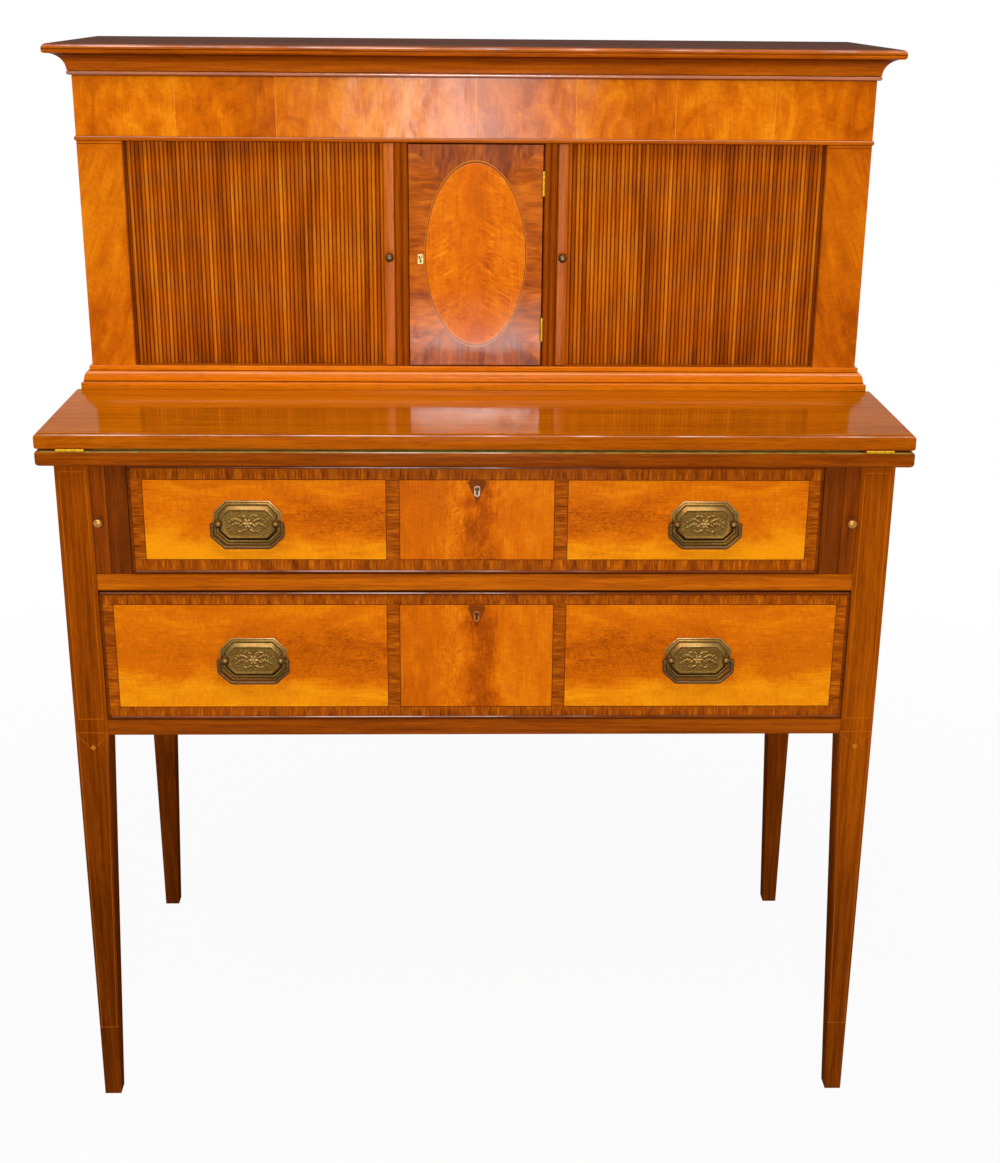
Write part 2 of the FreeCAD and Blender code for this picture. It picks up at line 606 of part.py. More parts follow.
# Upper case
def tracked_board(label, level, thickness, track_face, track_side):
    """Board across the upper case with two routed tracks for the curtains, each round two corners."""
    panel = new_body(label)
    plan = rectangle(sketch(panel, "plan", "XY", level), (f"-{UPPER_IN}", FACE_BACK), (UPPER_IN, INNER_BACK))
    pad(panel, plan, thickness)
    for word, side in SIDES:
        turn = -side
        path = outline(sketch(panel, f"path_{word}", "XY", track_face), [
            (f"{side} * {PARTITION_OUT}", TRACK_Y),
            (f"{side} * ({TRACK_X} - track_radius)", TRACK_Y, "track_radius", turn),
            (f"{side} * {TRACK_X}", f"{TRACK_Y} + track_radius"),
            (f"{side} * {TRACK_X}", f"{TRACK_BACK} - track_radius", "track_radius", turn),
            (f"{side} * ({TRACK_X} - track_radius)", TRACK_BACK),
            (f"{side} * ({TRACK_X} - track_radius - track_tail)", TRACK_BACK)], closed=False)
        section = rectangle(sketch(panel, f"section_{word}", "YZ", f"{side} * {PARTITION_OUT}"),
                            (f"{TRACK_Y} - track_width / 2", track_face),
                            (f"{TRACK_Y} + track_width / 2", f"{track_face} + {track_side} * track_depth"))
        DESK.recompute()
        before = panel.Shape.Volume
        pipe(panel, "Subtractive", section, path)
        DESK.recompute()
        if panel.Shape.Volume >= before:
            raise RuntimeError(f"track of {label} cuts nothing")
    return panel


keep(tracked_board("upper_floor", f"{FLOOR} - floor_thickness", "floor_thickness", FLOOR, -1))
keep(tracked_board("head_board", HEAD, "head_thickness", HEAD, 1))
keep(board("plinth_rail", (f"-{HALF_UPPER}", UPPER_FRONT, BED_TOP), (HALF_UPPER, FACE_BACK, FLOOR)))
keep(group("upper_sides", [
    side_board(f"upper_side_{word}", side, (UPPER_IN, FACE_BACK, BED_TOP), (HALF_UPPER, BACK, CORNICE))
    for word, side in SIDES]))
keep(board("upper_back", (f"-{UPPER_IN}", INNER_BACK, BED_TOP), (UPPER_IN, BACK, CORNICE)))
keep(group("stiles", [
    side_board(f"stile_{word}", side, (STILE_IN, UPPER_FRONT, FLOOR), (HALF_UPPER, FACE_BACK, HEAD))
    for word, side in SIDES]))
keep(board("frieze", (f"-{HALF_UPPER}", UPPER_FRONT, HEAD), (HALF_UPPER, FACE_BACK, CORNICE)))


def moulding(label, profile):
    """Moulding mitred round the front and both sides of the upper case; profile points are outwards, up."""
    strip = new_body(label)
    path = outline(sketch(strip, "path", "XY", "0"), [
        (f"-{HALF_UPPER}", BACK), (f"-{HALF_UPPER}", UPPER_FRONT), (HALF_UPPER, UPPER_FRONT),
        (HALF_UPPER, BACK)], closed=False)
    points = [(f"-{HALF_UPPER} - ({out})", up, *bend) for out, up, *bend in profile]
    pipe(strip, "Additive", outline(sketch(strip, "profile", "XZ", BACK), points), path)
    return strip


OVOLO_FOOT = f"({BED_TOP} + plinth_height)"
keep(moulding("base_moulding", [
    ("0", BED_TOP), ("base_projection", BED_TOP), ("base_projection", OVOLO_FOOT),
    ("base_projection - ovolo_step", OVOLO_FOOT, "ovolo_height", 1),
    ("base_fillet_projection", f"{OVOLO_FOOT} + ovolo_height"),
    ("base_fillet_projection", FLOOR), ("0", FLOOR)]))
keep(moulding("cornice_cove", [
    ("0", COVE_FOOT), ("bead_projection / 2", COVE_FOOT, "bead_radius", 1),
    ("bead_projection / 2", f"{COVE_FOOT} + bead_height"), ("bead_projection", f"{COVE_FOOT} + bead_height",
     "cove_radius", -1), ("bead_projection + cove_radius", CORNICE), ("0", CORNICE)]))


def cornice_board():
    """Top board with a rounded edge on its front and ends."""
    panel = new_body("cornice_board")
    half = f"({HALF_UPPER} + cornice_projection)"
    front = f"({UPPER_FRONT} - cornice_projection)"
    top = f"({CORNICE} + cornice_thickness)"
    blank = pad(panel, rectangle(sketch(panel, "plan", "XY", CORNICE), (f"-{half}", front), (half, BACK)),
                "cornice_thickness")

    def on_rim(level):
        def test(box):
            flat = near(box.ZMin, level) and near(box.ZMax, level)
            return flat and (near(box.YMax, front) or (box.XLength < 0.01 and near(abs(box.XMin), half)))
        return test

    softened = round_edges(panel, blank, "upper_edge", "cornice_edge_radius", on_rim(top))
    round_edges(panel, softened, "lower_edge", "cornice_under_radius", on_rim(CORNICE))
    return panel


keep(cornice_board())


def door_partition(word, side):
    """Upright partition beside the door, with two beads on its front edge."""
    upright = new_body(f"door_partition_{word}")
    inner, outer = f"{side} * {PARTITION_IN}", f"{side} * {PARTITION_OUT}"
    middle = f"{side} * ({PARTITION_IN} + partition_thickness / 2)"
    bead_foot = f"({UPPER_FRONT} + partition_bead_rise)"
    turn = -side
    plan = outline(sketch(upright, "plan", "XY", FLOOR), [
        (inner, bead_foot, "partition_bead_radius", turn), (middle, bead_foot, "partition_bead_radius", turn),
        (outer, bead_foot), (outer, INNER_BACK), (inner, INNER_BACK)])
    pad(upright, plan, "curtain_height")
    return upright


keep(group("door_partitions", [door_partition(word, side) for word, side in SIDES]))


# Pigeonholes: outer wall, back, one shelf, three uprights above it and one below
def nest(word, side):
    """Nest of pigeonholes behind one curtain, clear of its track."""
    inside, outside = PARTITION_OUT, f"({NEST_OUT} - nest_board)"
    rear = f"({NEST_BACK} - nest_board)"
    shelf = f"({FLOOR} + nest_shelf_height)"
    above = f"({shelf} + nest_board)"
    clear = f"({outside} - {inside})"
    pieces = [
        side_board(f"nest_wall_{word}", side, (outside, NEST_FRONT, FLOOR), (NEST_OUT, NEST_BACK, HEAD)),
        side_board(f"nest_back_{word}", side, (inside, rear, FLOOR), (outside, NEST_BACK, HEAD)),
        side_board(f"nest_shelf_{word}", side, (inside, NEST_FRONT, shelf), (outside, rear, above))]
    for row, count, low, high in (("upper", 4, above, HEAD), ("lower", 2, FLOOR, shelf)):
        for number in range(1, count):
            start = f"({inside} + {clear} * {number} / {count} - nest_board / 2)"
            pieces.append(side_board(f"nest_{row}{number}_{word}", side, (start, NEST_FRONT, low),
                                     (f"{start} + nest_board", rear, high)))
    return pieces


keep(group("pigeonholes", nest("left", -1) + nest("right", 1)))


# Tambour curtains
def curtain(word, side):
    """Reeds side by side on a canvas, standing in the tracks; each is bevelled towards its crown."""
    reeds = new_body(f"reeds_{word}")
    half = "((reed_pitch - reed_gap) / 2)"
    middle = f"{side} * ({LEAD_OUT} + reed_pitch / 2)"
    crown = f"({REED_BACK} - reed_rise)"
    profile = outline(sketch(reeds, "profile", "XY", REED_LOW), [
        (f"{middle} - {half}", REED_BACK), (f"{middle} - reed_crown / 2", crown),
        (f"{middle} + reed_crown / 2", crown), (f"{middle} + {half}", REED_BACK)])
    single = pad(reeds, profile, f"{REED_HIGH} - {REED_LOW}")
    DESK.recompute()
    row = reeds.newObject("PartDesign::LinearPattern", f"reeds_{word}_row")
    row.Originals = [single]
    row.Direction = (profile, ["H_Axis"])
    row.Reversed = side < 0
    row.Mode = "Spacing"
    row.setExpression("Offset", bind("reed_pitch"))
    row.setExpression("Occurrences", bind(REED_COUNT))
    reeds.Tip = row
    canvas = side_board(f"canvas_{word}", side, (LEAD_OUT, REED_BACK, REED_LOW),
                        (CURTAIN_OUT, CURTAIN_BACK, REED_HIGH))
    return group(f"curtain_{word}", [reeds, canvas])


def lead_strip(word, side):
    """Stout end strip of a curtain, with tongues that run in the tracks."""
    strip = new_body(f"lead_strip_{word}")
    low, high = f"{FLOOR} + track_end_play", f"{HEAD} - track_end_play"
    inner, outer = f"{side} * {LEAD_IN}", f"{side} * {LEAD_OUT}"
    plan = rectangle(sketch(strip, "plan", "XY", low), (inner, LEAD_FACE), (outer, CURTAIN_BACK))
    blank = pad(strip, plan, f"{high} - ({low})")
    round_edges(strip, blank, "front_edge", "lead_edge_radius",
                lambda box: near(box.YMax, LEAD_FACE) and box.XLength < 0.01)
    tongue_low = f"({REED_LOW} + running_play)"
    tongue = rectangle(sketch(strip, "tongue", "XY", tongue_low),
                       (inner, f"{REED_BACK} - reed_rise"), (outer, CURTAIN_BACK))
    pad(strip, tongue, f"{REED_HIGH} - {tongue_low}")
    return strip


for word, side in SIDES:
    keep(curtain(word, side), lead_strip(word, side))
    keep(knob(f"curtain_knob_{word}", "curtain_knob_radius", "curtain_knob_reach",
              f"{side} * ({LEAD_IN} + lead_width / 2)", LEAD_FACE, f"{FLOOR} + curtain_height / 2"))


# Keyhole through a front: a round hole and a slot below it
def keyhole(owner, x, z, face, depth):
    """Cut a keyhole at a point of the front face at y = face."""
    pocket(owner, circle(sketch(owner, "keyhole", "XZ", face), x, z, "keyhole_radius"), depth)
    slot = rectangle(sketch(owner, "keyslot", "XZ", face),
                     (f"{x} - keyhole_slot / 2", f"{z} - keyhole_length"), (f"{x} + keyhole_slot / 2", z))
    pocket(owner, slot, depth)


# Door
DOOR_LOW, DOOR_HIGH = f"({FLOOR} + door_sill_play)", f"({HEAD} - door_sill_play)"
DOOR_BACK = f"({UPPER_FRONT} + door_thickness)"
DOOR_KEY = (f"({DOOR_LEFT} + door_lock_inset)", f"({FLOOR} + curtain_height / 2)")


def door():
    """Flat veneered door with a keyhole near its left edge."""
    panel = new_body("door")
    face = rectangle(sketch(panel, "face", "XZ", DOOR_BACK), (DOOR_LEFT, DOOR_LOW), (DOOR_RIGHT, DOOR_HIGH))
    pad(panel, face, "door_thickness")
    keyhole(panel, *DOOR_KEY, UPPER_FRONT, "door_thickness")
    return panel


def door_lock():
    """Lock case on the back of the door and the small plate round its keyhole on the front."""
    case = board("door_lock_case",
                 (f"{DOOR_KEY[0]} - door_lock_width / 2", DOOR_BACK, f"{DOOR_KEY[1]} - door_lock_height / 2"),
                 (f"{DOOR_KEY[0]} + door_lock_width / 2", f"{DOOR_BACK} + door_lock_thickness",
                  f"{DOOR_KEY[1]} + door_lock_height / 2"))
    plate = new_body("key_plate")
    middle = f"({DOOR_KEY[1]} - keyhole_length / 2 + keyhole_radius / 2)"
    face = rectangle(sketch(plate, "face", "XZ", UPPER_FRONT),
                     (f"{DOOR_KEY[0]} - key_plate_width / 2", f"{middle} - key_plate_height / 2"),
                     (f"{DOOR_KEY[0]} + key_plate_width / 2", f"{middle} + key_plate_height / 2"))
    pad(plate, face, "key_plate_thickness")
    keyhole(plate, *DOOR_KEY, f"{UPPER_FRONT} - key_plate_thickness", "key_plate_thickness")
    return group("door_lock", [case, plate])


keep(door(), door_lock())
DOOR_AXIS = (f"{DOOR_RIGHT} + {HINGE_GAP} / 2", f"{UPPER_FRONT} - door_hinge_proud")
for kind, moving in (("fixed", False), ("moving", True)):
    halves = []
    for word, height in (("low", f"{DOOR_LOW} + door_hinge_inset + door_hinge_length / 2"),
                         ("high", f"{DOOR_HIGH} - door_hinge_inset - door_hinge_length / 2")):
        half = hinge_leaf(f"door_hinge_{kind}_{word}", "door_hinge_length", "door_hinge_reach", moving)
        halves.append(place(half, *DOOR_AXIS, height, UPRIGHT))
    keep(group(f"door_hinge_{kind}", halves))


# Drawers
FRONT_BACK = f"({FRONT} + drawer_front_thickness)"
BOX_BACK = f"({CASE_BACK_FACE} - drawer_rear_gap)"
POST_HOLE = "(post_shank / 2 + post_play)"
POST_SEAT = "(post_head_radius + post_play)"
PULL_X = f"({UPPER_HALF} - drawer_play - pull_inset)"


class Opening:
    """Where one drawer sits: half width, sill and top of its opening, as formulas."""

    def __init__(self, word, half, sill, top):
        self.word = word
        self.half = f"({half} - drawer_play)"
        self.low = f"({sill} + drawer_sill_play)"
        self.high = f"({top} - drawer_sill_play)"
        self.run = f"({sill} + running_play)"
        self.core = f"({self.half} - cock_bead)"
        self.inside = f"({self.half} - drawer_side_thickness)"
        self.bottom = f"({self.run} + drawer_bottom_rise)"
        self.bottom_top = f"({self.bottom} + drawer_bottom_thickness)"
        self.side_top = f"({self.high} - drawer_side_drop)"
        self.pull = f"(({self.low} + {self.high}) / 2 - pull_drop)"
        self.key = f"({self.high} - keyhole_drop)"


OPENINGS = (
    Opening("upper", UPPER_HALF, UPPER_SILL, CASE_TOP),
    Opening("lower", POST_IN, LOWER_SILL, MIDDLE_RAIL))


def drawer_front(gap):
    """Front board with a groove for the bottom, holes for the pull posts and a keyhole."""
    panel = new_body(f"{gap.word}_drawer_front")
    face = rectangle(sketch(panel, "face", "XZ", FRONT_BACK), (f"-{gap.core}", f"{gap.low} + cock_bead"),
                     (gap.core, f"{gap.high} - cock_bead"))
    pad(panel, face, "drawer_front_thickness")
    groove = rectangle(sketch(panel, "groove", "XZ", f"{FRONT_BACK} - groove_depth"),
                       (f"-({gap.inside} + groove_depth)", gap.bottom),
                       (f"{gap.inside} + groove_depth", f"{gap.bottom_top} + groove_play"))
    pocket(panel, groove, "groove_depth")
    holes = sketch(panel, "post_holes", "XZ", FRONT)
    for side in (-1, 1):
        for end in (-1, 1):
            square(holes, f"{side} * {PULL_X} + {end} * post_spread", gap.pull, POST_HOLE)
    pocket(panel, holes, "drawer_front_thickness")
    keyhole(panel, "0", gap.key, FRONT, "drawer_front_thickness")
    return panel


def cock_bead(gap):
    """Thin bead framing a drawer front and standing a little proud of it."""
    frame = new_body(f"{gap.word}_drawer_cock_bead")
    ring = sketch(frame, "ring", "XZ", FRONT_BACK)
    rectangle(ring, (f"-{gap.half}", gap.low), (gap.half, gap.high))
    rectangle(ring, (f"-{gap.core}", f"{gap.low} + cock_bead"), (gap.core, f"{gap.high} - cock_bead"))
    blank = pad(frame, ring, "drawer_front_thickness + cock_bead_proud")
    nose = f"{FRONT} - cock_bead_proud"
    bevel_edges(frame, blank, "nose", "cock_bead_bevel", lambda box: near(box.YMax, nose))
    return frame


def drawer_box(gap):
    """Sides with a groove each, back, and a bottom that slides into the grooves."""
    sides = []
    for word, side in SIDES:
        name = f"{gap.word}_drawer_side_{word}"
        blank = side_board(f"{name}_blank", side, (gap.inside, FRONT_BACK, gap.run),
                           (gap.half, BOX_BACK, gap.side_top))
        groove = side_board(f"{name}_groove", side, (gap.inside, FRONT_BACK, gap.bottom),
                            (f"{gap.inside} + groove_depth", BOX_BACK, f"{gap.bottom_top} + groove_play"))
        sides.append(cut(name, blank, groove))
    rear = board(f"{gap.word}_drawer_back",
                 (f"-{gap.inside}", f"{BOX_BACK} - drawer_back_thickness", gap.bottom_top),
                 (gap.inside, BOX_BACK, f"{gap.side_top} - drawer_side_drop"))
    edge = f"({gap.inside} + groove_depth - groove_play)"
    floor = board(f"{gap.word}_drawer_bottom",
                  (f"-{edge}", f"{FRONT_BACK} - groove_depth + groove_play", gap.bottom),
                  (edge, BOX_BACK, gap.bottom_top))
    return group(f"{gap.word}_drawer_sides", sides), rear, floor


def octagon(owner, name, level, inset):
    """Elongated octagon of the pull plate, set in from its outline by a formula."""
    half_x, half_y = f"(plate_width / 2 - {inset})", f"(plate_height / 2 - {inset})"
    flat = f"(plate_corner - {inset} * {2 - math.sqrt(2):.6f})"
    corners = [(1, -1, 0), (1, 1, 0), (1, 1, 1), (-1, 1, 1), (-1, 1, 0), (-1, -1, 0), (-1, -1, 1), (1, -1, 1)]
    points = []
    for x, z, on_end in corners:
        along = f"({half_x} - {flat})" if on_end else half_x
        up = half_y if on_end else f"({half_y} - {flat})"
        points.append((f"{x} * {along}", f"{z} * {up}"))
    return outline(sketch(owner, name, "XZ", level), points)


def pull_plate(label, x, z):
    """Octagonal back plate: a flat border round a raised field, with a seat and a hole for each post."""
    plate = new_body(label)
    pad(plate, octagon(plate, "edge", "0", "0"), "plate_thickness")
    rise = "(plate_step + plate_bevel)"
    top = f"(plate_thickness + {rise})"
    raised = pad(plate, octagon(plate, "field", "-plate_thickness", "plate_border"), rise)
    bevel_edges(plate, raised, "slope", "plate_bevel", lambda box: near(box.YMax, f"-{top}"))
    for name, half, depth in (("seats", POST_SEAT, rise), ("holes", POST_HOLE, top)):
        squares = sketch(plate, name, "XZ", f"-{top}")
        for end in (-1, 1):
            square(squares, f"{end} * post_spread", "0", half)
        pocket(plate, squares, depth)
    return place(plate, x, FRONT, z)


def square(drawing, x, y, half):
    """Square about a point."""
    return rectangle(drawing, (f"{x} - {half}", f"{y} - {half}"), (f"{x} + {half}", f"{y} + {half}"))


def eight_flats(drawing, x, y, half):
    """Regular octagon about a point, its flats at a distance of half."""
    flat = f"({half} * {math.tan(math.pi / 8):.6f})"
    quarter = [(half, f"-{flat}"), (half, flat), (flat, half), (f"-{flat}", half)]
    rest = [(f"-({a})", f"-({b})") for a, b in quarter]
    return outline(drawing, [(f"{x} + {a}", f"{y} + {b}") for a, b in quarter + rest])


def pull_post(label, x, z):
    """Post with an eight-sided head that the bail turns in, a square shank and a nut inside the drawer."""
    post = new_body(label)
    head = "post_head_radius"
    tip = f"(post_pin_distance + {head})"
    pad(post, eight_flats(sketch(post, "head", "XZ", "-plate_thickness"), "0", "0", head),
        f"{tip} - plate_thickness")
    shank = square(sketch(post, "shank", "XZ", "drawer_front_thickness"), "0", "0", "post_shank / 2")
    pad(post, shank, "drawer_front_thickness + plate_thickness")
    nut_back = "drawer_front_thickness + nut_thickness"
    pad(post, square(sketch(post, "nut", "XZ", nut_back), "0", "0", "nut_width / 2"), "nut_thickness")
    eye = circle(sketch(post, "eye", "YZ", head), "-post_pin_distance", "0", "bail_pin_radius + pin_play")
    pocket(post, eye, f"2 * {head}")
    return place(post, x, FRONT, z)


def bail(label, x, z):
    """Swinging handle: a rod down, in, across and up again, with a pin at each end that turns in a post."""
    handle = new_body(label)
    shoulder, drop = "-bail_shoulder", "-bail_drop"
    path = outline(sketch(handle, "path", "XZ", "-post_pin_distance"), [
        ("-bail_half_width", "0"), ("-bail_half_width", shoulder), ("-bail_foot", drop), ("bail_foot", drop),
        ("bail_half_width", shoulder), ("bail_half_width", "0")], closed=False)
    section = sketch(handle, "section", "XY", "0")
    eight_flats(section, "-bail_half_width", "-post_pin_distance", "bail_radius")
    pipe(handle, "Additive", section, path)
    for side in (-1, 1):
        tip = f"{side} * (bail_half_width + bail_pin_cap)"
        pin = sketch(handle, f"pin{side + 1}", "YZ", tip)
        circle(pin, "-post_pin_distance", "0", "bail_pin_radius")
        pad(handle, pin, "bail_pin_length + bail_pin_cap", reverse=side > 0)
    return place(handle, x, FRONT, z)


def pulls(gap):
    """Plates and posts of one drawer's two pulls, and the two bails by themselves."""
    fixed = []
    for word, side in SIDES:
        middle = f"{side} * {PULL_X}"
        fixed.append(pull_plate(f"{gap.word}_{word}_plate", middle, gap.pull))
        for number, end in enumerate((-1, 1)):
            along = f"{middle} + {end} * post_spread"
            fixed.append(pull_post(f"{gap.word}_{word}_post{number}", along, gap.pull))
        keep(bail(f"{gap.word}_{word}_bail", middle, gap.pull))
    return group(f"{gap.word}_drawer_pulls", fixed)


def drawer_lock(gap):
    """Lock case screwed to the inside of a drawer front behind its keyhole."""
    top = f"({gap.key} + lock_height / 2)"
    return board(f"{gap.word}_drawer_lock", ("-lock_width / 2", FRONT_BACK, f"{top} - lock_height"),
                 ("lock_width / 2", f"{FRONT_BACK} + lock_thickness", top))


for gap in OPENINGS:
    keep(drawer_front(gap), cock_bead(gap), *drawer_box(gap), pulls(gap), drawer_lock(gap))

# Test every object, then write each sub-part
DESK.recompute()
for item in DESK.Objects:
    if "Invalid" in item.State or "Error" in item.State:
        raise RuntimeError(f"{item.Label} failed: {item.State}")
for node in NODES:
    if node.Shape.isNull() or not node.Shape.isValid() or not node.Shape.Solids:
        raise RuntimeError(f"{node.Label} has no valid solid")
os.makedirs("parts", exist_ok=True)
for node in NODES:
    node.Shape.exportStep(f"parts/{node.Label}.step")
print(len(NODES), "sub-parts written")
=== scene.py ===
"""Escritoire with tambour curtains: veneers, mouldings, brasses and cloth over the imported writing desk.

Metres in the desk's own frame: x to the right, y to the back, z up, the floor at z = 0.
"""
import logging
import math
from collections.abc import Iterable
from dataclasses import dataclass, field
from enum import Enum
from functools import reduce

import bpy
import numpy as np
from mathutils import Matrix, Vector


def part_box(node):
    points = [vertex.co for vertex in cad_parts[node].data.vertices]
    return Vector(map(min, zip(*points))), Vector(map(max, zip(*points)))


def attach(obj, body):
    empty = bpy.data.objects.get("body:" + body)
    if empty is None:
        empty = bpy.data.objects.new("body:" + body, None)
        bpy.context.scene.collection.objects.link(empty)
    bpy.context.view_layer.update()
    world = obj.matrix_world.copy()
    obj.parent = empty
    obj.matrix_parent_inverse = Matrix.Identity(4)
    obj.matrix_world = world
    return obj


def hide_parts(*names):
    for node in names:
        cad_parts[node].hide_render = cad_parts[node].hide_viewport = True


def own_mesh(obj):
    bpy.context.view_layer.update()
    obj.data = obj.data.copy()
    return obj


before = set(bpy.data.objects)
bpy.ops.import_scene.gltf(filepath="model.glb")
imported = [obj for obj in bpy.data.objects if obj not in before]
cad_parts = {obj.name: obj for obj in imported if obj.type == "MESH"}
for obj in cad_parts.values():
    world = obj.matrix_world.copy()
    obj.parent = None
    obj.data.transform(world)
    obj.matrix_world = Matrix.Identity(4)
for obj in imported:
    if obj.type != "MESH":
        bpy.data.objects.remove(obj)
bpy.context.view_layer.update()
LOG = logging.getLogger("escritoire")

MM = 0.001
RGB = tuple[int, int, int]
Spot = tuple[float, float, float]
Socket = bpy.types.NodeSocket
Number = float | Socket
Material = bpy.types.Material
Piece = bpy.types.Object

SIDES = (("left", -1), ("right", 1))
CASE_FRONT = -17 * MM
DRAWER_FACE = -222 * MM
LEAF_FRONT = -234 * MM
VENEER = 0.8 * MM  # veneer shows down to this depth, plain wood behind it
STRING = 0.9 * MM  # inlaid line on the drawers
STRETCH = 0.04  # noise along the fibres against noise across them
PLAIN_LEVEL = 0.04  # specular level where a finish gives none
EDGE_IOR = 2.2  # lets a varying specular level reach the bright lines on rubbed edges
METAL = 0.85
# Painted shade: dark lines in the steps of the mouldings, and halfway up the cornice board's edge where a groove
# would be.
CREASE_SHADE: RGB = (58, 22, 2)
TURNED_TONE = 0.22  # UV number of turned brass, between the plates' hollows and heights
SMOOTH_TURN = math.radians(30)
SHARP_TURN = math.radians(40)

# Rounding of the boards' edges, in millimetres.
EASED_EDGES = {
    "leg_front_left": 0.8, "leg_front_right": 0.8, "leg_back_left": 0.8, "leg_back_right": 0.8,
    "bottom_rail": 0.5, "middle_rail": 0.5, "loper_partitions": 0.5, "loper_left": 0.8, "loper_right": 0.8,
    "frieze": 0.4, "stiles": 0.4, "cornice_board": 0.9, "flap": 0.7, "writing_bed": 0.7,
    "upper_drawer_cock_bead": 1.0, "lower_drawer_cock_bead": 1.0, "upper_sides": 0.5, "case_sides": 0.5}

# Turned knobs: shares of the radius and of the reach.
KNOB_PROFILE = np.array([
    (0.0, -0.02), (0.62, -0.02), (0.62, 0.1), (0.5, 0.16), (0.42, 0.3), (0.46, 0.42), (0.8, 0.5), (1.0, 0.64),
    (0.98, 0.8), (0.74, 0.94), (0.34, 1.0), (0.06, 1.0)])

# Plates of the pulls: inward distance and height in millimetres, and tone of the metal.
PLATE_PROFILE = np.array([
    (0, 0, 0), (0, 0.8, 0.2), (0.15, 1.05, 0.6), (0.45, 1.2, 0.6), (1.5, 1.25, 0.45), (1.8, 1.05, 0.1),
    (2.1, 1.05, 0.1), (2.4, 1.25, 0.35), (4.6, 1.3, 0.35), (4.9, 1.15, 0.05), (5.2, 1.15, 0.0), (5.4, 1.5, 0.1),
    (5.65, 1.8, 0.25), (8.1, 4.25, 0.3), (8.4, 4.55, 0.4), (8.8, 4.7, 0.5), (9.3, 4.72, 0.2), (9.6, 4.55, 0.05),
    (9.9, 4.5, 0.3)])

# Posts, nuts and shanks of the pulls: radius and reach from the drawer's face, in millimetres.
POST_PROFILE = np.array([
    (0.3, 1.0), (4.2, 1.0), (4.2, 1.9), (3.5, 2.7), (3.1, 4.0), (3.4, 5.2), (3.9, 6.2), (4.0, 7.4), (3.7, 8.9),
    (2.9, 10.2), (1.7, 11.0), (0.3, 11.35)])
NUT_PROFILE = np.array([(0.3, -21.5), (4.6, -21.5), (5.2, -21.2), (5.2, -18.0), (0.3, -18.0)])
SHANK_PROFILE = np.array([(2.2, -21.0), (2.2, 2.6)])

# Keyhole liners, in millimetres: radii of the hole and the rim, half width and foot of the slot, how far the rim is
# pulled up and down, and where the liner lies before and behind the drawer's face.
LINER_HOLE, LINER_RIM = 2.4, 3.1
SLOT_HALF, SLOT_FOOT = 1.1, 6.8
RIM_UP, RIM_DOWN = 0.6, 5.4
LINER_PROUD, LINER_SUNK = 0.3, 2

# Corners of a bail across and up, in millimetres from the middle of its pull.
BAIL_CORNERS = np.array([
    (-36.8, 2.2), (-36.8, -12.6), (-23.6, -24.8), (23.6, -24.8), (36.8, -12.6), (36.8, 2.2)])

# Leaves beside the rosette: place across and up, angle, two half axes and height, in millimetres.
CORNER_LEAVES = np.array([
    (4.2, -6.4, -0.5, 3.0, 1.1, 0.7), (3.6, 6.8, 0.6, 2.6, 1.1, 0.7), (8.8, -7.4, 0.3, 2.4, 0.9, 0.6),
    (9.0, 7.6, -0.3, 2.4, 0.9, 0.6)])


class Grain(Enum):
    """The way that the fibres of a board run."""

    ACROSS = 0
    DEEP = 1
    UPRIGHT = 2


class Tier(Enum):
    """The two long drawers."""

    UPPER = "upper"
    LOWER = "lower"


def ink(shade: RGB) -> tuple[float, ...]:
    """Turn a shade as the eye reads it, 0 to 255, into the linear colour that a shader takes.

    Args:
        shade: red, green and blue.

    Returns:
        Linear red, green, blue and an alpha of 1.
    """
    part = np.array(shade, float) / 255
    linear = np.where(part <= 0.04045, part / 12.92, ((part + 0.055) / 1.055) ** 2.4)
    return (*(float(c) for c in linear), 1.0)


